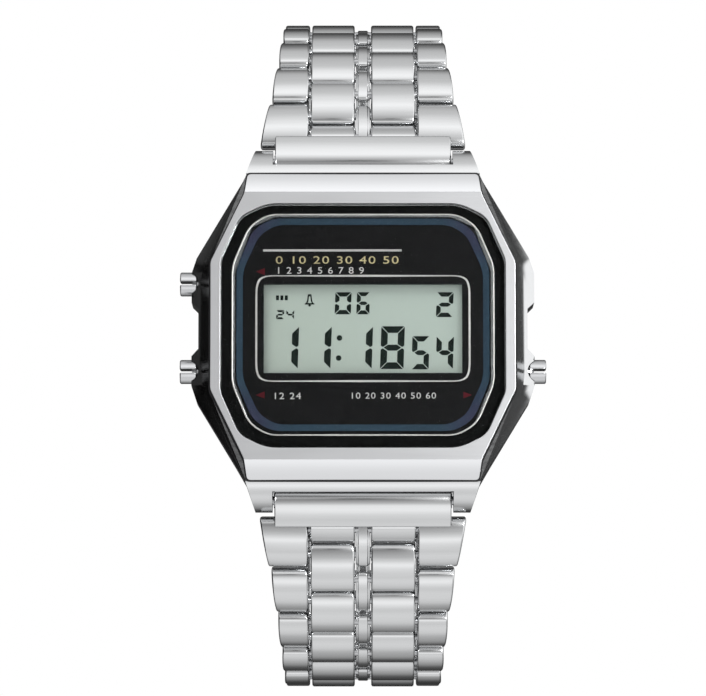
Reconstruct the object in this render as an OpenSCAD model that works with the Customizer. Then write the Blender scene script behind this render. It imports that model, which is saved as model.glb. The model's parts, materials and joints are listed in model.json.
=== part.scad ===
// Digital watch on a steel link bracelet, with the bracelet closed.
// The watch stands as it is read: +X is the 3 o'clock side, +Z is 12 o'clock
// and the face looks along -Y. The origin is the centre of the wrist opening.
// Depths are measured from the bezel's front, towards the wrist.

/* [Case] */
// Width of the case over its button shoulders
case_w = 34.2; // [33.8:0.1:35]
// Length of the case from lug tip to lug tip
case_l = 36.4; // [36:0.1:37.2]
// Depth from the bezel's front to the case's rear face
case_d = 8.2; // [8:0.1:9.4]
// Gap between the two lugs of a pair
lug_gap = 18; // [17.9:0.1:18.6]
// Direction in which a lug runs out into its tip, in degrees
lug_slope = 0; // [-3:1:6]
// Depth of the spring bar below the bezel's front
bar_depth = 5.2; // [5:0.1:5.6]
// Distance from the lug tip to the spring bar, also the tip's radius
lug_tip_r = 1.2; // [1.1:0.05:1.3]
// Depth of the two side notches between the buttons
notch_d = 0.7; // [0.3:0.1:1]
// Length of the side notches
notch_l = 4; // [3:0.1:4.4]
// Wall between the case's front and its hollow
front_wall = 0.8; // [0.7:0.1:1]
// Width of the hollow for the module
hollow_w = 24.4; // [24:0.1:24.8]
// Distance of the hollow's ends inside the window's ends
hollow_in = 1; // [0.7:0.05:1.1]

/* [Bezel and crystal] */
// Width of the bezel plate
bezel_w = 30.5; // [30.1:0.1:31]
// Length of the bezel plate's flat front
bezel_flat_l = 26.7; // [26:0.1:27.4]
// Length of the bezel plate over its sloping ends
bezel_l = 30.8; // [30.4:0.1:31.2]
// Thickness of the bezel plate
bezel_t = 1.4; // [1.2:0.1:1.5]
// Width of the window in the bezel plate
window_w = 28.3; // [27.6:0.1:28.6]
// Length of the window in the bezel plate
window_l = 24.4; // [24:0.1:24.8]
// Depth of the crystal's face below the bezel's front
crystal_sink = 0.22; // [0.1:0.02:0.4]
// Width of the ledge that the crystal rests on
crystal_ledge = 1.25; // [1:0.05:1.4]

/* [Display] */
// Length of the dial plate's display window
display_l = 8.9; // [8:0.1:9.4]
// Height of the display's centre above the case's centre
display_z = -0.2; // [-0.4:0.05:0.2]
// Thickness of the dial plate
dial_t = 0.6; // [0.4:0.05:0.7]
// Thickness of the display glass
lcd_t = 0.9; // [0.7:0.05:1]
// Glass beyond the display window on each side
lcd_rim = 0.5; // [0.4:0.05:0.6]

/* [Module] */
// Thickness of the circuit board
board_t = 0.6; // [0.5:0.05:0.8]
// Diameter of the battery
battery_d = 16; // [15:0.1:16.4]
// Thickness of the battery
battery_t = 1.6; // [1.4:0.1:1.8]
// Wall of the module frame
frame_wall = 0.6; // [0.5:0.05:0.7]

/* [Buttons] */
// Diameter of a button's head
button_d = 2.4; // [2.2:0.05:2.5]
// How far a button stands out of the case
button_out = 1.15; // [0.9:0.05:1.3]
// Travel of a button
button_travel = 0.55; // [0.4:0.05:0.6]
// Diameter of a button's stem
stem_d = 1.4; // [1.2:0.05:1.5]
// Half the distance between the two buttons on the left
button_z = 4.4; // [4.3:0.05:4.7]
// Height of the buttons' middle above the case's centre
button_rise = 0.2; // [0:0.05:0.3]
// Depth of the buttons below the bezel's front
button_depth = 4.3; // [4.2:0.1:5.2]

/* [Case back] */
// Thickness of the case back
back_t = 0.9; // [0.8:0.05:1.1]
// Height of the raised flat on the case back
back_rise = 0.3; // [0.2:0.05:0.5]
// Shank diameter of the case-back screws
screw_d = 1; // [0.8:0.05:1.1]

/* [Bracelet] */
// Distance from one full link's hinge to the next
pitch = 5.5; // [5.4:0.02:5.6]
// Thickness of the links
link_t = 2.5; // [2.4:0.02:2.54]
// Radius of the links' rounded outer faces
link_crown = 5; // [4.4:0.1:7]
// Distance from the spring bar to the first link's hinge
end_reach = 2.95; // [2.9:0.02:3.04]
// Radius of the end link's shoulder towards the case
shoulder_r = 1.85; // [1.75:0.01:1.9]
// Radius of the end link's crown over its skirt
end_crown = 6.2; // [5.8:0.1:7]
// Slope of the end link with the bracelet closed, in degrees
end_slope = 22; // [20:1:24]
// Turn from the end link to the first link, in degrees
first_turn = 7; // [5:1:9]
// Turn from each link to the next, in degrees
link_turn = 14.6; // [14.2:0.1:15]
// Width of the first row over its outer links
first_row_w = 20.6; // [20:0.1:21.2]
// Width of the last rows over their outer links
last_row_w = 15.4; // [15.2:0.1:16]
// Rows over which the width settles, as a decay length in links
taper_rows = 1.75; // [1.2:0.05:2.4]
// Distance between the inner edges of the outer links
middle_w = 11; // [10.8:0.1:11.2]
// Gap between the two middle links
slot_w = 1.7; // [1.6:0.05:2]
// Width of the centre connector's raised strip
connector_w = 1.05; // [0.9:0.05:1.2]
// Height of the centre connector's raised strip
connector_t = 1.5; // [1.4:0.05:1.7]
// Diameter of the row pins
pin_d = 0.8; // [0.7:0.02:0.9]
// Diameter of the spring bars
bar_d = 1.5; // [1.3:0.05:1.6]
// Diameter of the end link's barrel
barrel_d = 3.2; // [3:0.05:3.3]

/* [Clasp] */
// Distance from a bracelet bar to the clasp's hinge beside it
clasp_inset = 3; // [2.9:0.05:3.3]
// Thickness of the inner and middle leaves
leaf_t = 0.55; // [0.5:0.02:0.58]
// Thickness of the cover's sheet
cover_t = 0.6; // [0.5:0.05:0.8]
// Width of the cover
cover_w = 16.6; // [16.5:0.05:17.2]
// Width of the leaves
leaf_w = 9.2; // [8.6:0.1:9.6]
// How far the leaves fold open, in degrees
clasp_open = 120; // [100:5:120]

/* [Clearances] */
// Radial clearance of a pin that turns in its hole
run_gap = 0.06; // [0.05:0.01:0.08]
// Clearance of a pin or piece that is fixed in its seat
seat_gap = 0.02; // [0.01:0.005:0.03]
// Side gap between links that pass each other
side_gap = 0.25; // [0.2:0.01:0.3]
// Gap between the end link's barrel and each lug
lug_side_gap = 0.2; // [0.15:0.01:0.4]
// Side gap between a centre connector and a middle link
connector_gap = 0.12; // [0.1:0.01:0.2]
// Gap between a loose piece and what holds it
loose_gap = 0.1; // [0.05:0.01:0.15]

/* [Hidden] */
$fn = 64;

steel = [0.78, 0.79, 0.8];
dark_steel = [0.62, 0.63, 0.65];
black = [0.05, 0.05, 0.06];
gold = [0.8, 0.66, 0.32];
eps = 0.01;

// Case outline: one quarter, from the side up to the lug tip
case_hw = case_w / 2;
case_hl = case_l / 2;
shoulder_z = button_z + 1.25;
flank_z = shoulder_z + 1.5;
flank_in = 0.5;
knee_in = 4.35;
root_in = 5.45;
tip_in = 6.4;
knee_x = case_hw - knee_in;
knee_z = bezel_flat_l / 2 + 0.15;
root_x = case_hw - root_in;
root_z = bezel_l / 2;
tip_x = case_hw - tip_in;

// Bezel outline: one quarter
bezel_hw = bezel_w / 2;
bezel_side_z = button_z + 2;
bezel_knee_x = bezel_hw - 3.4;
bezel_end_x = bezel_hw - 3.7;
bezel_hl = bezel_l / 2;
end_fall = 1.3;

// The case's shoulders fall from the bezel in two slopes
slope_mid_share = 0.38;
slope_mid_d = bezel_t + 1.3;
slope_low_d = bezel_t + 2.2;

// Window outline: one quarter
window_hw = window_w / 2;
window_hl = window_l / 2;
hollow_l = window_l - 2 * hollow_in;
window_side_z = window_hl - 6;
window_knee_x = window_hw - 1.85;
window_knee_z = window_hl - 1.1;
window_top_x = window_hw - 4.35;

// Lug arc: passes the bezel's end and runs into the round tip at lug_slope
bar_z = case_hl - lug_tip_r;
lug_q = [bar_z - bezel_hl, bar_depth - bezel_t];
lug_e = [-cos(lug_slope), sin(lug_slope)];
lug_qe = lug_q * lug_e;
lug_r = (lug_q * lug_q + lug_tip_r * lug_tip_r - 2 * lug_tip_r * lug_qe)
    / (2 * (lug_tip_r - lug_qe));
lug_c = [bar_z, bar_depth] + (lug_r - lug_tip_r) * lug_e;
lug_touch = [bar_z, bar_depth] - lug_tip_r * lug_e;

// Depths of the stack inside the case
crystal_t = bezel_t - crystal_sink;
hollow_d = bezel_t + front_wall;
dial_d = bezel_t + 0.05;
lcd_d = hollow_d + 0.05;
frame_d = hollow_d + 0.02;
frame_w = hollow_w - 2.4;
lcd_w = frame_w - 2 * frame_wall - loose_gap;
display_w = lcd_w - 2 * lcd_rim;
lcd_l = display_l + 3;
reflector_t = 0.15;
strip_d = lcd_d + lcd_t;
strip_h = 1;
strip_w = 16;
strip_t = 0.9;
board_d = strip_d + strip_h;
battery_d0 = board_d + board_t + 0.1;
clip_t = 0.25;
frame_l = hollow_l - 0.6;
frame_cut = 3.4;
hollow_cut = 3.5;
board_w = frame_w - 2 * frame_wall - 2 * loose_gap;
board_l = frame_l - 4 * frame_wall - 2 * loose_gap;
battery_x = board_w / 2 - battery_d / 2;
frame_end = case_d - 0.6;

// Buttons
wall_x = hollow_w / 2;
head_in = button_travel + 0.15;
head_l = button_out + 0.55;
bore_end_x = case_hw - 0.55 - head_in;
stem_tip_x = wall_x - 0.7;
clip_r = 1.15;
clip_x = wall_x - 0.3;
seal_x = wall_x + 1.6;
seal_w = 0.5;
slot_cut = 0.32;
leaf_x = stem_tip_x - button_travel - 0.06;

// Case back
back_half_w = hollow_w / 2 + 1.2;
back_half_l = hollow_l / 2 + 2;
back_cut = 1.2;
screw_x = hollow_w / 2 - 0.3;
screw_z = hollow_l / 2 + 0.7;
screw_head_r = screw_d / 2 + 0.45;
screw_head_t = 0.45;
screw_len = 2.4;
gasket_w = 0.7;
gasket_t = 0.6;

// Bracelet: rest angle and hinge place of each link, as [along Z, depth]
link_count = 10;
link_r = link_t / 2;
function rest_angle(k) = end_slope + first_turn + link_turn * (k - 1);
function heading(a) = [cos(a), sin(a)];
function hinge(k) = k == 1
    ? [bar_z, bar_depth] + end_reach * heading(end_slope)
    : hinge(k - 1) + pitch * heading(rest_angle(k - 1));
function row_w(u) = last_row_w + (first_row_w - last_row_w) * exp(-u / taper_rows);
clasp_at = hinge(link_count + 1);
clasp_z = clasp_at[0];
clasp_depth = clasp_at[1];
opening_centre = (case_d + back_t + back_rise + clasp_depth - link_r) / 2;
pin_half = last_row_w / 2 - 0.5;
pin_r = pin_d / 2;
bar_r = bar_d / 2;
outer_in = middle_w / 2;
middle_out = middle_w / 2 - side_gap;
middle_in = slot_w / 2;
connector_end = pitch / 2 + 0.6;
connector_base_r = connector_t / 2 - 0.15;
end_web = end_reach - link_r - 0.12;
skirt_v = link_r + 0.12;
skirt_u = end_reach - 0.65;
barrel_w = lug_gap - 2 * lug_side_gap;
barrel_r = barrel_d / 2;
end_crown_u = 0.2;

// Clasp: heights are measured outwards from the bracelet bars
inner_low = -link_r;
middle_low = inner_low + leaf_t + 0.25;
cover_low = link_r + 0.2;
top_pin_h = inner_low + 0.75;
top_knuckle_r = 0.75;
bottom_pin_h = 0.65;
bottom_knuckle_r = cover_low - bottom_pin_h + 0.05;
leaf_knuckle_r = cover_low - bottom_pin_h - loose_gap;
hinge_z = clasp_z - clasp_inset;
knuckle_half = 2.2;
knuckle_gap = 0.2;
leaf_back_off = 0.2;
ear_in = outer_in;
ear_out = outer_in + 1.4;
ear_reach = 1.6;
wall_t = 0.6;
cover_end = 1.1;
clasp_pin_r = 0.35;

function four_way(q) = concat(
    q,
    [for (i = [len(q) - 1:-1:0]) [-q[i][0], q[i][1]]],
    [for (p = q) [-p[0], -p[1]]],
    [for (i = [len(q) - 1:-1:0]) [q[i][0], -q[i][1]]]);
function cut_box(hx, hz, cut) = four_way([[hx, hz - cut], [hx - cut, hz]]);
function blend(a, b, s) = [for (i = [0:len(a) - 1]) (1 - s) * a[i] + s * b[i]];

bezel_quarter = [[bezel_hw, shoulder_z], [bezel_hw, bezel_side_z],
    [bezel_knee_x, bezel_flat_l / 2], [bezel_end_x, bezel_hl]];
case_quarter = [[case_hw, shoulder_z], [case_hw - flank_in, flank_z],
    [knee_x, knee_z], [root_x, root_z]];
window_quarter = [[window_hw, window_side_z], [window_knee_x, window_knee_z],
    [window_top_x, window_hl]];

// Moves case coordinates so that the wrist opening's centre is the origin
module in_case() {
    translate([0, -opening_centre, 0])
        children();
}

// Extrudes an outline in X and Z between two depths
module slab(d0, d1) {
    translate([0, d1, 0])
        rotate([90, 0, 0])
            linear_extrude(d1 - d0)
                children();
}

// Extrudes an outline in Z and depth between two places along X
module across(x0, x1) {
    translate([x1, 0, 0])
        rotate([0, -90, 0])
            linear_extrude(x1 - x0)
                children();
}

// A rod along X
module rod(x0, x1, r) {
    translate([x0, 0, 0])
        rotate([0, 90, 0])
            cylinder(h = x1 - x0, r = r);
}

// A rod along depth
module post(d0, d1, r) {
    translate([0, d0, 0])
        rotate([-90, 0, 0])
            cylinder(h = d1 - d0, r = r);
}

module box(x0, x1, d0, d1, z0, z1) {
    translate([x0, d0, z0])
        cube([x1 - x0, d1 - d0, z1 - z0]);
}

// Both sides of the case in X
module both_x() {
    children();
    mirror([1, 0, 0])
        children();
}

// Both ends of the case in Z
module both_z() {
    children();
    mirror([0, 0, 1])
        children();
}

// The side view of the case: straight between the bezel's ends, then the lugs
module case_side() {
    intersection() {
        union() {
            square([2 * bezel_hl, 2 * case_d + 1], center = true);
            translate(lug_c)
                circle(r = lug_r, $fn = 128);
            mirror([1, 0])
                translate(lug_c)
                    circle(r = lug_r, $fn = 128);
        }
        union() {
            lug_side();
            mirror([1, 0])
                lug_side();
        }
    }
}

module lug_side() {
    polygon([[-1, bezel_t], [case_hl + 0.2, bezel_t], lug_touch, [bar_z, bar_depth],
        [bar_z, bar_depth + lug_tip_r], [bar_z - 1.7, case_d], [-1, case_d]]);
    translate([bar_z, bar_depth])
        circle(r = lug_tip_r);
}

// The lugs' outline, with a root that runs into the case
module lug_plan() {
    lap = 1;
    polygon([[root_x - lap / 4, root_z - lap], [root_x, root_z], [tip_x, case_hl + eps],
        [-tip_x, case_hl + eps], [-root_x, root_z], [lap / 4 - root_x, root_z - lap]]);
}

module case_shell() {
    intersection() {
        union() {
            hull() {
                slab(bezel_t, bezel_t + eps)
                    polygon(four_way(bezel_quarter));
                slab(slope_mid_d - eps, slope_mid_d)
                    polygon(four_way(blend(bezel_quarter, case_quarter, slope_mid_share)));
            }
            hull() {
                slab(slope_mid_d - eps, slope_mid_d)
                    polygon(four_way(blend(bezel_quarter, case_quarter, slope_mid_share)));
                slab(slope_low_d - eps, slope_low_d)
                    polygon(four_way(case_quarter));
            }
            slab(slope_low_d - eps, case_d)
                polygon(four_way(case_quarter));
            both_z()
                slab(bezel_t, case_d)
                    lug_plan();
        }
        across(-case_hw - 1, case_hw + 1)
            case_side();
    }
}

// One button's place on the right or the left side
module at_button(side, z) {
    translate([0, button_depth, button_rise + z])
        mirror([side < 0 ? 1 : 0, 0, 0])
            children();
}

module each_button() {
    at_button(-1, button_z)
        children();
    at_button(-1, -button_z)
        children();
    at_button(1, -button_z)
        children();
}

module case_body() {
    color(steel)
        in_case()
            difference() {
                case_shell();
                slab(hollow_d, case_d + 1)
                    polygon(cut_box(hollow_w / 2, hollow_l / 2, hollow_cut));
                slab(0, case_d)
                    polygon(four_way(blend(window_quarter, window_quarter * 0, crystal_ledge
                        / window_hl)));
                both_z()
                    lug_space();
                both_x()
                    side_notch();
                each_button()
                    button_hole();
                each_screw()
                    post(case_d - screw_len, case_d + 1, screw_d / 2 + seat_gap);
                slab(case_d - gasket_t, case_d + eps)
                    gasket_ring(seat_gap);
            }
}

// The space between two lugs, with the spring bar's holes
module lug_space() {
    box(-lug_gap / 2, lug_gap / 2, 0, case_d + 1, bar_z - 0.65, case_hl + 1);
    translate([0, bar_depth, bar_z]) {
        rod(-lug_gap / 2, lug_gap / 2, shoulder_r + 0.15);
        rod(-lug_gap / 2 - 0.85, lug_gap / 2 + 0.85, bar_r * 0.6 + seat_gap);
    }
}

module side_notch() {
    slab(0, case_d + 1)
        polygon([[case_hw + eps, notch_l / 2 + notch_d], [case_hw - notch_d, notch_l / 2],
            [case_hw - notch_d, -notch_l / 2], [case_hw + eps, -notch_l / 2 - notch_d],
            [case_hw + 1, -notch_l / 2 - notch_d], [case_hw + 1, notch_l / 2 + notch_d]]);
}

module button_hole() {
    rod(wall_x - 1, case_hw, stem_d / 2 + run_gap);
    rod(bore_end_x, case_hw + 1, button_d / 2 + run_gap);
    rod(seal_x, seal_x + seal_w + seat_gap, stem_d / 2 + 0.42);
}

module bezel_plate() {
    color(steel)
        in_case()
            difference() {
                intersection() {
                    slab(0, bezel_t)
                        polygon(four_way(bezel_quarter));
                    across(-bezel_hw, bezel_hw)
                        polygon([[-bezel_flat_l / 2, 0], [bezel_flat_l / 2, 0],
                            [bezel_hl, end_fall], [bezel_hl, bezel_t],
                            [-bezel_hl, bezel_t], [-bezel_hl, end_fall]]);
                }
                slab(-1, bezel_t + 1)
                    polygon(four_way(window_quarter));
            }
}

module crystal() {
    color([0.75, 0.8, 0.82, 0.35])
        in_case()
            slab(crystal_sink, crystal_sink + crystal_t)
                polygon(four_way(blend(window_quarter, window_quarter * 0, 0.06 / window_hl)));
}

module dial_plate() {
    share = (crystal_ledge + 0.06) / window_hl;
    color(black)
        in_case()
            difference() {
                slab(dial_d, dial_d + dial_t)
                    polygon(four_way(blend(window_quarter, window_quarter * 0, share)));
                slab(0, case_d)
                    translate([0, display_z])
                        square([display_w, display_l], center = true);
            }
}

module lcd_panel() {
    color([0.72, 0.77, 0.72])
        in_case()
            box(-lcd_w / 2, lcd_w / 2, lcd_d, lcd_d + lcd_t - reflector_t,
                display_z - lcd_l / 2, display_z + lcd_l / 2);
}

module lcd_reflector() {
    color(dark_steel)
        in_case()
            box(-display_w / 2, display_w / 2, lcd_d + lcd_t - reflector_t, lcd_d + lcd_t,
                display_z - display_l / 2, display_z + display_l / 2);
}

// Both rubber strips lie under the display glass, above and below its window
module strip_pair(gap) {
    for (side = [-1, 1])
        box(-strip_w / 2 - gap, strip_w / 2 + gap, strip_d - reflector_t, board_d + gap,
            display_z + side * (lcd_l / 2 - strip_t / 2 - 0.1) - strip_t / 2 - gap,
            display_z + side * (lcd_l / 2 - strip_t / 2 - 0.1) + strip_t / 2 + gap);
}

module module_frame() {
    color([0.25, 0.25, 0.27])
        in_case()
            difference() {
                slab(frame_d, frame_end)
                    polygon(cut_box(frame_w / 2, frame_l / 2, frame_cut));
                box(-lcd_w / 2 - seat_gap, lcd_w / 2 + seat_gap, 0, strip_d,
                    display_z - lcd_l / 2 - seat_gap, display_z + lcd_l / 2 + seat_gap);
                strip_pair(seat_gap);
                slab(board_d - seat_gap, case_d)
                    polygon(cut_box(board_w / 2 + seat_gap, board_l / 2 + seat_gap,
                        frame_cut - 1));
                lamp_space(seat_gap);
                each_button()
                    leaf_space(seat_gap);
            }
}

module contact_strips() {
    color([0.85, 0.75, 0.6])
        in_case()
            difference() {
                strip_pair(0);
                box(-strip_w, strip_w, 0, strip_d, -hollow_l, hollow_l);
            }
}

module circuit_board() {
    color([0.1, 0.4, 0.2])
        in_case()
            slab(board_d, board_d + board_t)
                polygon(cut_box(board_w / 2, board_l / 2, frame_cut - 1));
}

chip_r = 1.9;
chip_x = -board_w / 2 + chip_r + 0.4;
module chip() {
    color(black)
        in_case()
            translate([chip_x, 0, board_l / 4])
                post(board_d + board_t, board_d + board_t + 0.8, chip_r);
}

quartz_r = 0.75;
quartz_l = 5;
module quartz_can() {
    color(steel)
        in_case()
            translate([chip_x - 0.6, board_d + board_t + quartz_r, -board_l / 4 - quartz_l / 2])
                cylinder(h = quartz_l, r = quartz_r);
}

lamp_w = 1.6;
lamp_x = -display_w / 2 + 0.4;
module lamp_space(gap) {
    box(lamp_x - gap, lamp_x + lamp_w + gap, strip_d - gap, board_d + gap,
        -lamp_w / 2 - gap, lamp_w / 2 + gap);
}

module lamp() {
    color([0.9, 0.9, 0.75])
        in_case()
            lamp_space(0);
}

leaf_thick = 0.15;
leaf_l = 4;
leaf_h = 1.6;
module leaf_space(gap) {
    box(leaf_x - leaf_thick - gap, frame_w / 2 + 1, -leaf_h / 2 - gap, leaf_h / 2 + gap,
        -leaf_l / 2 - gap, leaf_l / 2 + gap);
}

module switch_leaves() {
    color(gold)
        in_case()
            each_button()
                box(leaf_x - leaf_thick, leaf_x, -leaf_h / 2, leaf_h / 2, -leaf_l / 2,
                    leaf_l / 2);
}

module battery() {
    color(steel)
        in_case()
            translate([battery_x, 0, 0]) {
                post(battery_d0, battery_d0 + battery_t * 0.4, battery_d / 2 - 0.8);
                post(battery_d0 + battery_t * 0.4, battery_d0 + battery_t, battery_d / 2);
            }
}

clip_arm = 3;
module battery_clip() {
    top = battery_d0 + battery_t;
    color(gold)
        in_case() {
            box(battery_x - clip_arm / 2, battery_x + clip_arm / 2, top, top + clip_t,
                -board_l / 2 + loose_gap, board_l / 2 - loose_gap);
            both_z()
                box(battery_x - clip_arm / 2, battery_x + clip_arm / 2, board_d + board_t,
                    top + eps, battery_d / 2 + 0.3, board_l / 2 - loose_gap);
        }
}

sounder_r = 7;
sounder_t = 0.2;
module sounder_disc() {
    color(gold)
        in_case()
            translate([0, 0, 0])
                post(case_d - sounder_t, case_d, sounder_r);
}

module each_screw() {
    both_x()
        both_z()
            translate([screw_x, 0, screw_z])
                children();
}

module gasket_ring(gap) {
    difference() {
        polygon(cut_box(hollow_w / 2 + 0.2 + gasket_w + gap, hollow_l / 2 + 0.2 + gasket_w + gap,
            hollow_cut + 0.55));
        polygon(cut_box(hollow_w / 2 + 0.2 - gap, hollow_l / 2 + 0.2 - gap, hollow_cut));
    }
}

module back_gasket() {
    color(black)
        in_case()
            slab(case_d - gasket_t + seat_gap, case_d)
                gasket_ring(0);
}

module case_back() {
    rear = case_d + back_t;
    color(steel)
        in_case()
            difference() {
                union() {
                    slab(case_d, rear)
                        polygon(cut_box(back_half_w, back_half_l, back_cut));
                    slab(rear - eps, rear + back_rise)
                        polygon(cut_box(back_half_w - 2.2, back_half_l - 2.2, back_cut + 2.4));
                }
                each_screw() {
                    post(0, rear + 1, screw_d / 2 + 0.1);
                    post(rear - screw_head_t, rear + 1, screw_head_r + 0.05);
                }
            }
}

module back_screws() {
    rear = case_d + back_t;
    color(dark_steel)
        in_case()
            each_screw()
                difference() {
                    union() {
                        post(case_d - screw_len + 0.2, rear - screw_head_t, screw_d / 2);
                        post(rear - screw_head_t, rear, screw_head_r);
                    }
                    box(-0.12, 0.12, rear - 0.2, rear + 1, -2, 2);
                    box(-2, 2, rear - 0.2, rear + 1, -0.12, 0.12);
                }
}

// A button: stem along X, head with a rounded rim and a slot
module button_shape() {
    head_x = case_hw + button_out - head_l;
    rim = 0.35;
    difference() {
        union() {
            rod(stem_tip_x, head_x + eps, stem_d / 2);
            translate([head_x, 0, 0])
                rotate([0, 90, 0])
                    rotate_extrude()
                        union() {
                            square([button_d / 2, head_l - rim]);
                            square([button_d / 2 - rim, head_l]);
                            translate([button_d / 2 - rim, head_l - rim])
                                circle(r = rim);
                        }
        }
        box(case_hw + 0.05, case_hw + 2, -button_d, button_d, -slot_cut / 2, slot_cut / 2);
        difference() {
            rod(clip_x - 0.22, clip_x + 0.02, stem_d);
            rod(clip_x - 1, clip_x + 1, stem_d / 2 - 0.25);
        }
    }
}

// The retaining clip: a flat ring open at one side, in the stem's groove
module clip_shape() {
    difference() {
        rod(clip_x - 0.2, clip_x, clip_r);
        rod(clip_x - 1, clip_x + 1, stem_d / 2 - 0.25 + seat_gap);
        box(clip_x - 1, clip_x + 1, 0, 3, -0.3, 0.3);
    }
}

module button_light() {
    color(steel)
        in_case()
            at_button(-1, button_z)
                button_shape();
}

module button_mode() {
    color(steel)
        in_case()
            at_button(-1, -button_z)
                button_shape();
}

module button_start() {
    color(steel)
        in_case()
            at_button(1, -button_z)
                button_shape();
}

module clip_light() {
    color(dark_steel)
        in_case()
            at_button(-1, button_z)
                clip_shape();
}

module clip_mode() {
    color(dark_steel)
        in_case()
            at_button(-1, -button_z)
                clip_shape();
}

module clip_start() {
    color(dark_steel)
        in_case()
            at_button(1, -button_z)
                clip_shape();
}

module button_seals() {
    color(black)
        in_case()
            each_button()
                translate([seal_x + seal_w / 2 + seat_gap / 2, 0, 0])
                    rotate([0, 90, 0])
                        rotate_extrude()
                            translate([stem_d / 2 + 0.22, 0])
                                circle(r = 0.18);
}

// A spring bar: a tube with a thinner sprung tip at each end
module spring_bar(half) {
    rod(-half, half, bar_r);
    rod(-half - 0.65, half + 0.65, bar_r * 0.6);
}

module spring_bar_12() {
    color(dark_steel)
        in_case()
            translate([0, bar_depth, bar_z])
                spring_bar(lug_gap / 2 - 0.12);
}

module spring_bar_6() {
    color(dark_steel)
        in_case()
            mirror([0, 0, 1])
                translate([0, bar_depth, bar_z])
                    spring_bar(lug_gap / 2 - 0.12);
}

// Link frame: x across, y along the bracelet away from the case, z outwards
module at_link(k) {
    place = k == 0 ? [bar_z, bar_depth] : hinge(k);
    angle = k == 0 ? end_slope : rest_angle(k);
    translate([0, place[1], place[0]])
        rotate([90 - angle, 0, 0])
            children();
}

// Extrudes a side view, drawn along and outwards, between two places across
module rail(x0, x1) {
    translate([x0, 0, 0])
        rotate([90, 0, 90])
            linear_extrude(x1 - x0)
                children();
}

// Side view of a link between two pins, round at both and crowned outside
module link_side(u0, u1, r) {
    intersection() {
        union() {
            translate([u0, 0])
                circle(r = r);
            translate([u1, 0])
                circle(r = r);
            translate([u0, -r])
                square([u1 - u0, 2 * r]);
        }
        translate([(u0 + u1) / 2, r - link_crown])
            circle(r = link_crown, $fn = 96);
    }
}

// An outer link: its outer edge follows the bracelet's taper
module outer_link(k) {
    u_front = -pitch / 4;
    u_rear = pitch * 3 / 4;
    start = k - 1;
    front_x = row_w(start * 1.0) / 2;
    mid_x = row_w(start + 0.42) / 2 + 0.12;
    rear_x = row_w(start + 0.72) / 2;
    intersection() {
        rail(outer_in, first_row_w)
            link_side(0, pitch / 2, link_r);
        translate([0, 0, -link_t])
            linear_extrude(2 * link_t)
                polygon([[0, u_front], [front_x, u_front], [mid_x, pitch / 4],
                    [rear_x, u_rear], [0, u_rear]]);
    }
}

module pin_hole(u, half, r) {
    translate([0, u, 0])
        rod(-half, half, r);
}

// A full link: outer links, centre connector and middle links, with two pins
module full_link(k, open_end) {
    color(steel)
        difference() {
            union() {
                both_x()
                    outer_link(k);
                rail(-connector_w / 2, connector_w / 2)
                    link_side(0, connector_end, connector_t / 2);
                rail(connector_gap - middle_in, middle_in - connector_gap)
                    link_side(0, connector_end, connector_base_r);
                both_x()
                    rail(middle_in, middle_out)
                        link_side(pitch / 2, pitch, link_r);
            }
            pin_hole(0, pin_half + 0.05, pin_r + seat_gap);
            pin_hole(pitch / 2, pin_half + 0.05, pin_r + seat_gap);
            pin_hole(pitch, middle_w, pin_r + run_gap);
            if (open_end)
                translate([-middle_w, pitch - pin_r - 0.35, -link_t])
                    cube([2 * middle_w, pitch, 2 * link_t]);
        }
    color(dark_steel)
        for (u = [0, pitch / 2])
            pin_hole(u, pin_half, pin_r);
}

module link_12(k) {
    in_case()
        at_link(k)
            full_link(k, k == link_count);
}

module link_6(k) {
    in_case()
        mirror([0, 0, 1])
            at_link(k)
                full_link(k, false);
}

// Side view of the end link: barrel, web and the skirt over the first link
module end_side(tongue) {
    intersection() {
        union() {
            circle(r = barrel_r);
            intersection() {
                circle(r = shoulder_r);
                translate([-shoulder_r, 0])
                    square([shoulder_r + end_web, shoulder_r]);
            }
            translate([0, -link_r])
                square([end_web, link_r + shoulder_r]);
            translate([0, skirt_v])
                square([skirt_u, shoulder_r]);
            if (tongue) {
                translate([end_reach, 0])
                    circle(r = link_r);
                translate([0, -link_r])
                    square([end_reach, link_r + skirt_v + eps]);
            }
        }
        translate([end_crown_u, shoulder_r - end_crown])
            circle(r = end_crown, $fn = 96);
    }
}

module end_link() {
    color(steel)
        difference() {
            union() {
                rail(-barrel_w / 2, barrel_w / 2)
                    end_side(false);
                both_x()
                    rail(middle_in, middle_out)
                        end_side(true);
            }
            pin_hole(0, barrel_w, bar_r + run_gap);
            pin_hole(end_reach, middle_w, pin_r + run_gap);
        }
}

module end_link_12() {
    in_case()
        at_link(0)
            end_link();
}

module end_link_6() {
    in_case()
        mirror([0, 0, 1])
            at_link(0)
                end_link();
}

// Clasp frame: z along the bracelet, depth measured outwards from its bars
module in_clasp() {
    in_case()
        translate([0, clasp_depth, 0])
            children();
}

module clasp_rod(z, h, x0, x1, r) {
    translate([0, h, z])
        rod(x0, x1, r);
}

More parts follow.
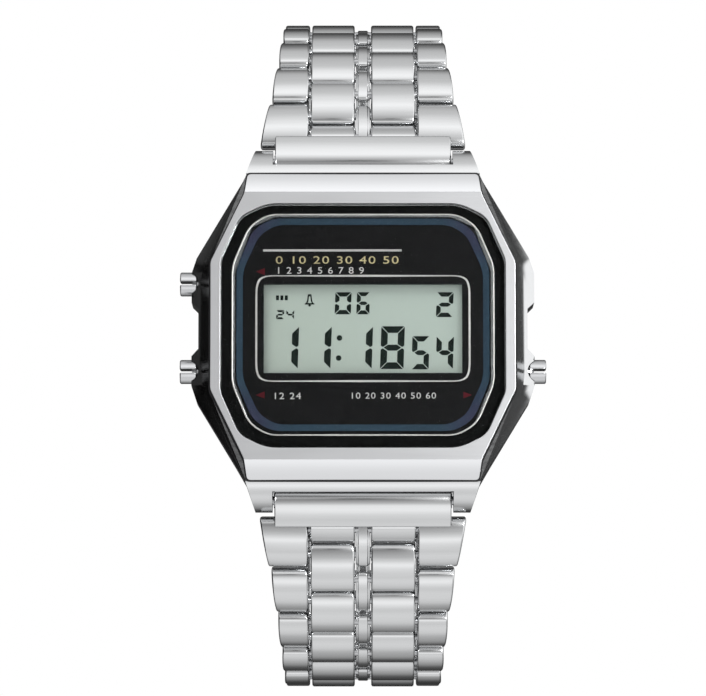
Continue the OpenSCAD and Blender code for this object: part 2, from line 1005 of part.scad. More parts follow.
module clasp_inner_leaf() {
    color(steel)
        in_clasp()
            difference() {
                union() {
                    box(-leaf_w / 2, leaf_w / 2, inner_low, inner_low + leaf_t,
                        -clasp_z + link_r + 0.2, hinge_z);
                    box(-ear_out, ear_out, inner_low, inner_low + leaf_t,
                        -clasp_z + link_r + 0.2, -clasp_z + link_r + ear_reach);
                    both_x() {
                        clasp_rod(-clasp_z, 0, ear_in, ear_out, link_r);
                        box(ear_in, ear_out, -link_r, 0, -clasp_z, -clasp_z + link_r + ear_reach);
                        clasp_rod(hinge_z, top_pin_h, knuckle_half + knuckle_gap, leaf_w / 2,
                            top_knuckle_r);
                    }
                }
                box(-knuckle_half - knuckle_gap / 2, knuckle_half + knuckle_gap / 2, -link_t,
                    link_t, hinge_z - top_knuckle_r - leaf_back_off, clasp_z);
                clasp_rod(-clasp_z, 0, -leaf_w, leaf_w, pin_r + seat_gap);
                clasp_rod(hinge_z, top_pin_h, -leaf_w, leaf_w, clasp_pin_r + run_gap);
            }
}

module clasp_middle_leaf() {
    color(dark_steel)
        in_clasp()
            difference() {
                union() {
                    box(-leaf_w / 2, leaf_w / 2, middle_low, middle_low + leaf_t,
                        -hinge_z + bottom_knuckle_r + leaf_back_off,
                        hinge_z - top_knuckle_r - leaf_back_off);
                    box(-knuckle_half, knuckle_half, middle_low, middle_low + leaf_t,
                        0, hinge_z);
                    clasp_rod(hinge_z, top_pin_h, -knuckle_half, knuckle_half, top_knuckle_r);
                    both_x() {
                        box(knuckle_half + knuckle_gap, leaf_w / 2, middle_low,
                            middle_low + leaf_t, -hinge_z, 0);
                        clasp_rod(-hinge_z, bottom_pin_h, knuckle_half + knuckle_gap,
                            leaf_w / 2, leaf_knuckle_r);
                    }
                }
                clasp_rod(hinge_z, top_pin_h, -leaf_w, leaf_w, clasp_pin_r + seat_gap);
                clasp_rod(-hinge_z, bottom_pin_h, -leaf_w, leaf_w, clasp_pin_r + run_gap);
            }
}

module clasp_cover() {
    color(steel)
        in_clasp()
            difference() {
                union() {
                    box(-cover_w / 2, cover_w / 2, cover_low, cover_low + cover_t, -hinge_z,
                        clasp_z + cover_end);
                    both_x()
                        box(cover_w / 2 - wall_t, cover_w / 2, -link_r, cover_low + eps,
                            -hinge_z, clasp_z + cover_end);
                    clasp_rod(-hinge_z, bottom_pin_h, -knuckle_half, knuckle_half,
                        bottom_knuckle_r);
                }
                clasp_rod(-hinge_z, bottom_pin_h, -leaf_w, leaf_w, clasp_pin_r + seat_gap);
                clasp_rod(clasp_z, 0, -cover_w, cover_w, pin_r + seat_gap);
            }
}

module clasp_pin_top() {
    color(dark_steel)
        in_clasp()
            clasp_rod(hinge_z, top_pin_h, -leaf_w / 2, leaf_w / 2, clasp_pin_r);
}

module clasp_pin_bottom() {
    color(dark_steel)
        in_clasp()
            clasp_rod(-hinge_z, bottom_pin_h, -leaf_w / 2, leaf_w / 2, clasp_pin_r);
}

module clasp_bar_12() {
    color(dark_steel)
        in_clasp()
            clasp_rod(clasp_z, 0, -cover_w / 2, cover_w / 2, pin_r);
}

module clasp_bar_6() {
    color(dark_steel)
        in_clasp()
            clasp_rod(-clasp_z, 0, -ear_out, ear_out, pin_r);
}

case_body();
bezel_plate();
crystal();
dial_plate();
lcd_panel();
lcd_reflector();
module_frame();
contact_strips();
circuit_board();
chip();
quartz_can();
lamp();
switch_leaves();
battery();
battery_clip();
sounder_disc();
case_back();
back_screws();
back_gasket();
button_light();
button_mode();
button_start();
button_seals();
clip_light();
clip_mode();
clip_start();
spring_bar_12();
spring_bar_6();
end_link_12();
end_link_6();
link_12(1);  // link_12_01
link_12(2);  // link_12_02
link_12(3);  // link_12_03
link_12(4);  // link_12_04
link_12(5);  // link_12_05
link_12(6);  // link_12_06
link_12(7);  // link_12_07
link_12(8);  // link_12_08
link_12(9);  // link_12_09
link_12(10);  // link_12_10
link_6(1);  // link_6_01
link_6(2);  // link_6_02
link_6(3);  // link_6_03
link_6(4);  // link_6_04
link_6(5);  // link_6_05
link_6(6);  // link_6_06
link_6(7);  // link_6_07
link_6(8);  // link_6_08
link_6(9);  // link_6_09
link_6(10);  // link_6_10
clasp_inner_leaf();
clasp_middle_leaf();
clasp_cover();
clasp_pin_top();
clasp_pin_bottom();
clasp_bar_12();
clasp_bar_6();
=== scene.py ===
"""Digital watch on a steel link bracelet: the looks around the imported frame.

Every shape is in millimetres in the frame's own axes until it goes into its mesh:
X to the 3 o'clock side, Z to 12 o'clock, and the face looks along -Y. A depth is
measured from the bezel's front towards the wrist, as on a maker's drawing.
"""

import json
import math
from contextlib import contextmanager
from types import SimpleNamespace

import bmesh
import bpy
import numpy as np
from bpy.props import FloatProperty, FloatVectorProperty, PointerProperty
from bpy.types import Operator, Panel, PropertyGroup
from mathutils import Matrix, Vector

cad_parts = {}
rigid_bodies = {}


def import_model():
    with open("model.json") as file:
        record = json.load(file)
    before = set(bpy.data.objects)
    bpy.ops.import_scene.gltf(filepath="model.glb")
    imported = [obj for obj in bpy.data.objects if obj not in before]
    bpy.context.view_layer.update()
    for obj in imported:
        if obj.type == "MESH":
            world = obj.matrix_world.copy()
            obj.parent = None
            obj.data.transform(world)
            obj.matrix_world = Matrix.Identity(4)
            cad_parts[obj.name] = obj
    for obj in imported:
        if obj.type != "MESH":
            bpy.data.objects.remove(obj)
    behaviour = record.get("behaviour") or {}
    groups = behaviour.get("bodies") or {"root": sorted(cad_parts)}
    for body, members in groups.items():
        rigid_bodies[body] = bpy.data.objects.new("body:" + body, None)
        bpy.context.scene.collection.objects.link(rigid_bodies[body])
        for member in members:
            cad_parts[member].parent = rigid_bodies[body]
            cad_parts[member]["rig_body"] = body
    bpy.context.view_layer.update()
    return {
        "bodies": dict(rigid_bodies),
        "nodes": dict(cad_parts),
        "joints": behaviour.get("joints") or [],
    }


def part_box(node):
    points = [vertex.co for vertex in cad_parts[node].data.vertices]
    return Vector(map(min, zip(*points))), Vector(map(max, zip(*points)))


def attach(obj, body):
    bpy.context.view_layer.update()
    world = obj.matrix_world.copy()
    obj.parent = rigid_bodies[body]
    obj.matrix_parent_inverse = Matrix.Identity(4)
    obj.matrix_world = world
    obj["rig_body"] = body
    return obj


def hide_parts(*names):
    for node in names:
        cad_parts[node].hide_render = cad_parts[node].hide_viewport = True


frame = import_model()

bl_info = {
    "name": "Digital watch on a link bracelet",
    "version": (1, 0, 0),
    "blender": (4, 5, 0),
    "location": "3D View > Sidebar > Watch",
    "description": "Builds the visible pieces, finishes and studio of a digital watch",
    "category": "Object",
}

MM = 0.001
JOINTS = {joint["name"]: joint for joint in frame["joints"]}
LINK_COUNT = sum(name.startswith("link_12_") for name in frame["bodies"])
FRONT_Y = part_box("bezel_plate")[0].y / MM
SIDES = ("12", "6")
LINK_RADIUS = 1.25  # Half the links' thickness, in mm.
INK = 0.012  # Thickness of the dial's printed ink, in mm.


def linear(code):
    """Linear colour of an sRGB hex code such as "#c8c9cb"."""
    srgb = np.array([int(code[i:i + 2], 16) for i in (1, 3, 5)]) / 255
    return tuple(np.where(srgb <= 0.04045, srgb / 12.92, ((srgb + 0.055) / 1.055) ** 2.4))


def length(name, description, default):
    """A size property, in metres, from its default in millimetres."""
    return FloatProperty(name=name, description=description, default=default * MM,
                         min=0.0, precision=5, unit="LENGTH")


def colour(name, description, code):
    """A colour property from its sRGB hex code."""
    return FloatVectorProperty(name=name, description=description, default=linear(code),
                               size=3, min=0.0, max=1.0, subtype="COLOR")


class WatchSizes(PropertyGroup):
    """Sizes of the visible pieces that the frame's solids don't give by their box."""

    link_crown: length("Link crown", "Radius of a link's rounded outer face", 5.0)
    end_crown: length("End link crown", "Radius of the end links' crown", 6.2)
    link_edge: length("Link edge", "Radius of the links' broken edges", 0.22)
    first_row: length("First row", "Width of the bracelet's first row", 20.6)
    last_row: length("Last row", "Width of the bracelet's last rows", 15.4)
    middle: length("Middle width", "Distance between the outer links' inner edges", 11.0)
    side_gap: length("Side gap", "Gap between an outer link and a middle link", 0.25)
    slot: length("Slot", "Gap between the two middle links", 1.7)
    connector: length("Connector width", "Width of the centre connector", 1.05)
    connector_height: length("Connector height", "Height of the connector's strip", 1.5)
    connector_base: length("Connector base", "Width of the connector's lower part", 1.46)
    pin: length("Row pin", "Diameter of the pins through the rows", 0.8)
    bezel_edge: length("Bezel edge", "Radius of the bezel plate's broken edges", 0.02)
    crystal_edge: length("Crystal edge", "Radius of the crystal's polished edge", 0.04)
    print_line: length("Printed line", "Width of the printed silver lines", 0.19)


class WatchColours(PropertyGroup):
    """Colours of the visible finishes."""

    steel: colour("Link steel", "Polished stainless steel of the bracelet", "#cfd0d1")
    plate: colour("Bezel plate", "Satin plated bezel", "#dcdddf")
    case: colour("Case", "Plated case", "#cecfd0")
    border: colour("Border", "Black print under the crystal's edge", "#0c0c0c")
    ring: colour("Ring", "Slate blue print round the dial", "#2c4050")
    # The ring's violet corner tint is a painted sheen.
    ring_corner_sheen: colour("Ring corner", "Violet tint of the ring at its corners", "#34344c")
    dial: colour("Dial", "Black dial plate", "#121112")
    light_print: colour("Light print", "Silver white print on the dial", "#cfcac8")
    gold_print: colour("Gold print", "Pale gold print on the dial", "#ab9d74")
    red_print: colour("Red print", "Dark red print on the dial", "#520c17")
    display: colour("Display", "Pale grey green of the display", "#bdc5bb")
    digit: colour("Digit", "Switched segments of the display", "#0b1712")


def sizes_mm(context):
    """The sizes in millimetres, by their names."""
    group = context.scene.watch_sizes
    return SimpleNamespace(**{name: getattr(group, name) / MM
                              for name in WatchSizes.__annotations__})


def box_mm(node):
    """A node's lower and upper corner, in mm."""
    return np.array([tuple(corner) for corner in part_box(node)]) / MM


# ---------------------------------------------------------------- shapes


def outward(outline):
    """Unit normals of a closed anticlockwise outline: the chord between each point's
    two neighbours, given a quarter turn to the right."""
    chord = np.roll(outline, -1, 0) - np.roll(outline, 1, 0)
    chord = chord / np.linalg.norm(chord, axis=1, keepdims=True)
    return np.stack([chord[:, 1], -chord[:, 0]], 1)


def evenly(outline, count):
    """The same closed outline with its points spaced evenly along its length."""
    closed = np.vstack([outline, outline[:1]])
    run = np.concatenate([[0], np.cumsum(np.linalg.norm(np.diff(closed, axis=0), axis=1))])
    at = np.linspace(0, run[-1], count, endpoint=False)
    return np.stack([np.interp(at, run, closed[:, 0]), np.interp(at, run, closed[:, 1])], 1)


def grid_faces(rings, count, caps=True, joined=False):
    """Quads of a grid of rings by count points, closed along each ring. The first and
    the last ring are closed by one flat face each, or joined to each other."""
    last = rings if joined else rings - 1
    r, j = np.meshgrid(np.arange(last), np.arange(count), indexing="ij")
    near, far = r * count, (r + 1) % rings * count
    nxt = (j + 1) % count
    quads = np.stack([near + j, near + nxt, far + nxt, far + j], -1).reshape(-1, 4).tolist()
    if caps and not joined:
        quads.append(list(range(count))[::-1])
        quads.append(list(range((rings - 1) * count, rings * count)))
    return quads


def carried(outline, low, high, edge, steps=4):
    """A solid bar: an outline carried straight from low to high. At each end the outline
    shrinks by edge * (1 - sin a) while it advances by edge * (1 - cos a), which rounds
    the edge by a quarter circle. Columns are (along the bar, outline's two)."""
    angle = np.linspace(0, math.pi / 2, steps + 1)
    shrink = np.concatenate([[edge + 0.04], edge * (1 - np.sin(angle))])
    advance = np.concatenate([[0.0], edge * (1 - np.cos(angle))])
    shrink = np.concatenate([shrink, shrink[::-1]])[:, None, None]
    rings = outline[None] - shrink * outward(outline)[None]
    low = np.broadcast_to(np.asarray(low, float), len(outline))
    high = np.broadcast_to(np.asarray(high, float), len(outline))
    place = np.concatenate([low[None] + advance[:, None], high[None] - advance[::-1, None]])
    points = np.concatenate([place[..., None], rings], -1)
    return points.reshape(-1, 3), grid_faces(len(place), len(outline))


def disc_outline(radius, centre=(0.0, 0.0), count=40):
    """A circle as a closed outline: radius times (cos a, sin a) round its centre."""
    angle = np.linspace(0, 2 * math.pi, count, endpoint=False)
    return np.stack([centre[0] + radius * np.cos(angle), centre[1] + radius * np.sin(angle)], 1)


def link_outline(start, end, radius, crown, count=76, power=40):
    """Side view of a link. In each direction from its middle the reach is the smaller
    of a round-ended bar's and a crown circle's that touches the bar's top, joined by a
    power mean so that they meet softly."""
    angle = np.linspace(0, 2 * math.pi, 1440, endpoint=False)
    c, s = np.cos(angle), np.sin(angle)
    half = (end - start) / 2
    flat = radius / np.maximum(np.abs(s), 1e-9)
    rounded = half * np.abs(c) + np.sqrt(np.maximum(radius ** 2 - (half * s) ** 2, 0))
    bar = np.where(np.abs(c) * flat <= half, flat, rounded)
    below = crown - radius
    circle = -below * s + np.sqrt(crown ** 2 - (below * c) ** 2)
    reach = (bar ** -power + circle ** -power) ** (-1 / power)
    middle = (start + end) / 2
    return evenly(np.stack([middle + reach * c, reach * s], 1), count)


def softened(corners, radius, steps=5):
    """A polygon with its corners rounded: each corner becomes a quadratic curve from
    one radius before it to one radius after it, at most 0.45 of the side."""
    corners = np.asarray(corners, float)
    before, after = np.roll(corners, 1, 0) - corners, np.roll(corners, -1, 0) - corners
    sizes = [np.linalg.norm(v, axis=1, keepdims=True) for v in (before, after)]
    reach = np.minimum(np.asarray(radius, float).reshape(-1, 1), 0.45 * np.minimum(*sizes))
    start = corners + before / sizes[0] * reach
    finish = corners + after / sizes[1] * reach
    t = np.linspace(0, 1, steps)[None, :, None]
    curve = (1 - t) ** 2 * start[:, None] + 2 * t * (1 - t) * corners[:, None]
    return (curve + t ** 2 * finish[:, None]).reshape(-1, 2)


def quarter_reach(quarter, angle, power):
    """Reach of an outline that is the same in all four quarters. Each side of the
    quarter's polygon is a line at distance d with normal n, its reach along a direction
    u is d / (n . u), and the power mean of all reaches rounds the corners."""
    quarter = np.asarray(quarter, float)
    points = np.vstack([[quarter[0, 0], 0], quarter, [0, quarter[-1, 1]]])
    side = np.diff(points, axis=0)
    normal = np.stack([side[:, 1], -side[:, 0]], 1)
    normal = normal / np.linalg.norm(normal, axis=1, keepdims=True)
    distance = (normal * points[:-1]).sum(1)
    u = np.abs(np.stack([np.cos(angle), np.sin(angle)]))
    share = (normal @ u) / distance[:, None]
    return (np.maximum(share, 1e-6) ** power).sum(0) ** (-1 / power)


def star_reach(quarter, angle, radius):
    """Reach of an outline that may turn inwards. The quarter is mirrored four ways, its
    corners are rounded by their radii, and along a direction u the reach to the side
    from p to q is (p x (q - p)) / (u x (q - p)), where x is the flat cross product."""
    quarter = np.asarray(quarter, float)
    radius = np.broadcast_to(radius, len(quarter))
    radius = np.tile(np.concatenate([radius, radius[::-1]]), 2)
    corners = np.vstack([quarter, quarter[::-1] * [-1, 1], -quarter, quarter[::-1] * [1, -1]])
    outline = softened(corners, radius, 9)
    bearing = np.arctan2(outline[:, 1], outline[:, 0]) % (2 * math.pi)
    order = np.argsort(bearing)
    outline, bearing = outline[order], bearing[order]
    near = np.searchsorted(bearing, angle, side="right") - 1
    start, side = outline[near], np.roll(outline, -1, 0)[near] - outline[near]
    across = np.cos(angle) * side[:, 1] - np.sin(angle) * side[:, 0]
    return (start[:, 0] * side[:, 1] - start[:, 1] * side[:, 0]) / across


def ring_band(reaches, section, angle, raised=0.0):
    """A closed band round the dial. Every section point is (outline, offset, depth): it
    runs round at that outline's reach plus the offset, and at that depth. All or each of
    them can be raised along Z."""
    rings = []
    for (which, offset, depth), rise in zip(section, np.broadcast_to(raised, len(section))):
        reach = reaches[which] + offset
        rings.append(np.stack([reach * np.cos(angle), np.full(len(angle), FRONT_Y + depth),
                               reach * np.sin(angle) + rise], 1))
    return np.concatenate(rings), grid_faces(len(section), len(angle), joined=True)


def plate(outline, front, back, edge, steps=3):
    """A flat piece that faces the reader: an outline in X and Z carried from its front
    depth to its back depth with rounded edges."""
    points, faces = carried(outline, front, back, edge, steps)
    return np.stack([points[:, 1], FRONT_Y + points[:, 0], points[:, 2]], 1), faces


def both_sides(outline, low, high, edge):
    """A bar from low to high along X, and the same one on the other side."""
    return [carried(outline, low, high, edge), carried(outline, -high, -low, edge)]


def laid(shell, origin, along, out):
    """Puts a shell given as (across, along, outwards) on the bracelet: X stays, and Y, Z
    are the origin plus along times the second plus out times the third."""
    points, faces = shell
    yz = origin[None] + points[:, 1:2] * along[None] + points[:, 2:3] * out[None]
    return np.concatenate([points[:, :1], yz], 1), faces


@contextmanager
def edited(mesh):
    """A mesh opened for work, which is written back afterwards."""
    work = bmesh.new()
    work.from_mesh(mesh)
    yield work
    work.to_mesh(mesh)
    work.free()


def values_of(items, name, columns=1, kind=float):
    """One property of all of a mesh's items, as rows of that many numbers."""
    values = np.empty(len(items) * columns, kind)
    items.foreach_get(name, values)
    return values.reshape(-1, columns) if columns > 1 else values


def build(name, shells, materials, body, replaces=(), sharp=None):
    """One object from closed shells. A shell is (points in mm, faces) and may carry a
    third value, its material's place in the list. Faces are turned outwards."""
    points, faces, places, start = [], [], [], 0
    for shell in shells:
        points.append(shell[0])
        faces.extend([i + start for i in face] for face in shell[1])
        places.extend([shell[2] if len(shell) > 2 else 0] * len(shell[1]))
        start += len(shell[0])
    mesh = bpy.data.meshes.new(name)
    mesh.from_pydata((np.concatenate(points) * MM).tolist(), [], faces)
    mesh.polygons.foreach_set("material_index", places)
    with edited(mesh) as work:
        bmesh.ops.recalc_face_normals(work, faces=work.faces)
    return placed(name, mesh, materials, body, replaces, sharp)


def printed(name, shells, finish):
    """A print, a film or a foil on the case, with crisp edges."""
    build(name, shells, [finishes()[finish]], "case", sharp=40)


def placed(name, mesh, materials, body, replaces=(), sharp=None):
    """Links a finished mesh as a smooth object that rides on its body."""
    for material in materials:
        mesh.materials.append(material)
    mesh.polygons.foreach_set("use_smooth", [True] * len(mesh.polygons))
    if sharp:
        mesh.set_sharp_from_angle(angle=math.radians(sharp))
    piece = bpy.data.objects.new(name, mesh)
    bpy.context.scene.collection.objects.link(piece)
    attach(piece, body)
    if replaces:
        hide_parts(*replaces)
    return piece


def merged_copy(node, name, materials, sharp=28):
    """A copy of a CAD node with its loose triangles merged, which stands for the node.
    Its arcs are smooth and its flats stay flat: each corner's normal is the mean of the
    faces round it by their area, up to the edges sharper than that angle."""
    source = frame["nodes"][node]
    work = bmesh.new()
    work.from_mesh(source.data)
    bmesh.ops.remove_doubles(work, verts=work.verts, dist=2e-6)
    mesh = bpy.data.meshes.new(name)
    work.to_mesh(mesh)
    work.free()
    piece = placed(name, mesh, materials, source["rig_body"], (node,), sharp)
    evened = piece.modifiers.new("Flats stay flat", "WEIGHTED_NORMAL")
    evened.keep_sharp = True
    return piece


def exact_arcs(piece, arcs):
    """Keeps the evened normals, except on the round surfaces along X: there a corner's
    normal is the unit vector that points straight away from the arc's axis."""
    mesh = piece.data
    bpy.context.view_layer.update()
    shown = piece.evaluated_get(bpy.context.evaluated_depsgraph_get()).to_mesh()
    normals = values_of(shown.corner_normals, "vector", 3)
    piece.modifiers.clear()
    co = values_of(mesh.vertices, "co", 3) / MM
    facing = values_of(mesh.polygons, "normal", 3)
    corner = values_of(mesh.loops, "vertex_index", kind=int)
    start = values_of(mesh.polygons, "loop_start", kind=int)
    total = values_of(mesh.polygons, "loop_total", kind=int)
    for y, z, radius in arcs:
        away = co[:, 1:] - [y, z]
        distance = np.linalg.norm(away, axis=1)
        on_arc = np.abs(distance - radius)[corner] < 0.01
        whole = np.logical_and.reduceat(on_arc, start) & (np.abs(facing[:, 0]) < 0.1)
        chosen = np.repeat(whole, total)
        at = corner[chosen]
        normals[chosen] = np.column_stack([np.zeros(len(at)), away[at] / distance[at, None]])
    mesh.normals_split_custom_set(normals.tolist())


# ------------------------------------------------------------- materials


def feed(tree, node, values):
    """Gives a node its values. A key is a setting's name, or an input's name or number.
    A socket is joined to that input, and anything else is set."""
    for key, value in values.items():
        if isinstance(value, bpy.types.NodeSocket):
            tree.links.new(value, node.inputs[key])
        elif isinstance(key, str) and hasattr(node, key):
            setattr(node, key, value)
        else:
            node.inputs[key].default_value = value


def add(tree, kind, values=(), out=0):
    """Adds a shader node with its values, and gives the output of that name or number."""
    node = tree.nodes.new("ShaderNode" + kind)
    feed(tree, node, dict(values))
    return node.outputs[out]


def maths(tree, operation, *inputs):
    """One step of arithmetic on sockets and numbers."""
    return add(tree, "Math", {"operation": operation, **dict(enumerate(inputs))})


def spread(tree, value, span=(0.0, 1.0), to=(0.0, 1.0), kind="LINEAR"):
    """Carries a value's span to another one, and holds it at both ends."""
    return add(tree, "MapRange", {0: value, 1: span[0], 2: span[1], 3: to[0], 4: to[1],
                                  "interpolation_type": kind})


def mix(tree, share, first, second, kind="MIX"):
    """Two colours, mixed or multiplied by a share."""
    return add(tree, "Mix", {"data_type": "RGBA", "blend_type": kind, 0: share, 6: first,
                             7: second}, 2)


def times(tree, hue, value):
    """A colour multiplied by a value."""
    return mix(tree, 1.0, hue, value, "MULTIPLY")


def noise(tree, place, size, detail):
    """Noise whose grain has that size in mm."""
    return add(tree, "TexNoise", {"Vector": place, "Scale": 1 / (size * MM),
                                  "Detail": detail})


def bumped(tree, height, size, strength=0.5):
    """A normal raised by a height, by that size in mm."""
    return add(tree, "Bump", {"Strength": strength, "Distance": size * MM,
                              "Height": height})


def blank(name):
    """A new material, with its tree, its Principled shader and its object coordinates."""
    material = bpy.data.materials.new(name)
    material.use_nodes = True
    tree = material.node_tree
    tree.nodes.clear()
    shader = add(tree, "BsdfPrincipled").node
    feed(tree, tree.nodes.new("ShaderNodeOutputMaterial"), {0: shader.outputs[0]})
    return material, tree, shader, add(tree, "TexCoord", out="Object")


def see_through(tree, shader, share, tint=(1.0, 1.0, 1.0, 1.0)):
    """Lets a share of the rays straight through a material, tinted."""
    clear = add(tree, "BsdfTransparent", {"Color": tint})
    mixed = add(tree, "MixShader", {0: share, 1: shader.outputs[0], 2: clear})
    output = next(node for node in tree.nodes if node.type == "OUTPUT_MATERIAL")
    feed(tree, output, {0: mixed})


def rgba(colour_value):
    """A colour with full alpha."""
    return (*colour_value, 1.0)


def brushed(name, base, rough, vary, grain, bump, tint=0.05):
    """Steel or plating with a drawn grain. grain gives the pattern's size in mm along
    X, Y and Z: long one way and short the others, as a belt or a wheel leaves it. It
    moves the roughness by vary, the colour by tint and the surface by bump mm."""
    material, tree, shader, place = blank(name)
    drawn = add(tree, "Mapping", {"Vector": place,
                                  "Scale": tuple(1 / (size * MM) for size in grain)})
    lines = add(tree, "TexNoise", {"Vector": drawn, "Scale": 1.0, "Detail": 3.0,
                                   "Roughness": 0.6})
    # Handling leaves soft patches some 6 mm wide that are a little duller.
    both = maths(tree, "MULTIPLY_ADD", noise(tree, place, 6, 2.0), 0.4, lines)
    shade = spread(tree, lines, (0.3, 0.7), (1 - tint, 1.0))
    feed(tree, shader, {
        "Roughness": spread(tree, both, (0.45, 0.95), (rough - vary, rough + vary)),
        "Base Color": times(tree, rgba(base), shade),
        "Normal": bumped(tree, lines, bump), "Metallic": 1.0})
    return material


def moulded(name, base, rough, grain, bump, variety=0.12, metallic=0.0, gloss=0.5):
    """A moulded, printed or cast surface: a fine grain of that size in mm that moves its
    colour by variety, its roughness a little and its surface by bump mm. Gloss is 0.5
    for a surface in air, and less where glue or glass lies against it."""
    material, tree, shader, place = blank(name)
    fine, wide = noise(tree, place, grain, 4.0), noise(tree, place, grain * 14, 1.0)
    shade = spread(tree, maths(tree, "ADD", fine, wide), (0.7, 1.3),
                   (1 - variety, 1 + variety))
    feed(tree, shader, {
        "Base Color": times(tree, rgba(base), shade),
        "Roughness": spread(tree, fine, (0.3, 0.7), (max(rough - 0.06, 0.02), rough + 0.06)),
        "Normal": bumped(tree, fine, bump), "Metallic": metallic,
        "Specular IOR Level": gloss})
    return material


def crystal_glass():
    """Acrylic crystal, polished: clear with a faint grey edge tint. Lamps and the sky
    light the dial straight through it."""
    material, tree, shader, place = blank("acrylic_crystal_polished")
    # Wiping leaves hairlines too fine to see apart; they show as a faint unevenness.
    wiped = noise(tree, place, 1.5, 5.0)
    feed(tree, shader, {"Roughness": spread(tree, wiped, to=(0.0, 0.03)),
                        "Base Color": rgba(linear("#fbfdfd")),
                        "Transmission Weight": 1.0, "IOR": 1.49})
    path = add(tree, "LightPath").node.outputs
    passing = maths(tree, "MAXIMUM", path["Is Shadow Ray"], path["Is Diffuse Ray"])
    see_through(tree, shader, passing, rgba(linear("#f4f7f7")))
    return material


def ring_print(side_colour, painted_sheen_colour):
    """Pearl ink under the crystal: slate blue along the sides that turns violet at the
    corners. The violet is a painted sheen: the colour the flakes show at another angle to the
    light, painted in by place."""
    material, tree, shader, place = blank("pearl_ink_slate_blue")
    parts = add(tree, "SeparateXYZ", {0: place}).node.outputs
    near = [spread(tree, maths(tree, "ABSOLUTE", parts[axis]), (start * MM, end * MM),
                   kind="SMOOTHSTEP") for axis, start, end in ((0, 7, 11.5), (2, 5, 9.5))]
    # Painted sheen: the violet is mixed in by place, towards the corners.
    hue = mix(tree, maths(tree, "MULTIPLY", *near), rgba(side_colour), rgba(painted_sheen_colour))
    flakes = noise(tree, place, 0.12, 3.0)
    shade = spread(tree, flakes, (0.3, 0.7), (0.85, 1.15))
    feed(tree, shader, {"Base Color": times(tree, hue, shade),
                        "Roughness": spread(tree, flakes, to=(0.38, 0.5)),
                        "Specular IOR Level": 0.12})
    return material


def display_glass(base):
    """Polariser film on display glass: pale grey green with a very fine matt grain.
    Painted light makes it a little cooler and lighter to the upper right."""
    material, tree, shader, place = blank("polariser_film_matt")
    parts = add(tree, "SeparateXYZ", {0: place}).node.outputs
    # Painted light: the colour runs from warmer and darker at the lower left to cooler and
    # lighter at the upper right.
    fade = spread(tree, maths(tree, "ADD", parts[0], parts[2]), (-12 * MM, 12 * MM))
    warm = tuple(np.array(base) * (0.95, 0.95, 0.94))
    lit_cool = tuple(np.minimum(np.array(base) * (1.03, 1.05, 1.06), 1))
    grain = noise(tree, place, 0.1, 2.0)
    shade = spread(tree, grain, (0.3, 0.7), (0.975, 1.02))
    feed(tree, shader, {
        "Base Color": times(tree, mix(tree, fade, rgba(warm), rgba(lit_cool)), shade),
        "Roughness": spread(tree, grain, to=(0.42, 0.55)), "IOR": 1.5})
    return material


def laminate():
    """Glass-cloth laminate with its green lacquer: a weave 0.5 mm wide under it, and
    copper tracks that show through as lighter lines."""
    material, tree, shader, place = blank("glass_laminate_lacquered")
    tracks = add(tree, "TexWave", {"Vector": place, "Scale": 0.31 / (0.8 * MM),
                                   "Distortion": 2.5, "bands_direction": "X"}, 1)
    weave = add(tree, "TexVoronoi", {"Vector": place, "Scale": 1 / (0.5 * MM),
                                     "distance": "CHEBYCHEV"})
    line = spread(tree, tracks, (0.45, 0.6))
    hue = mix(tree, line, rgba(linear("#1d4a2c")), rgba(linear("#3c7a4b")))
    feed(tree, shader, {"Base Color": hue, "Roughness": spread(tree, weave, to=(0.3, 0.42)),
                        "Normal": bumped(tree, line, 0.02, 0.4)})
    return material


made_materials = {}


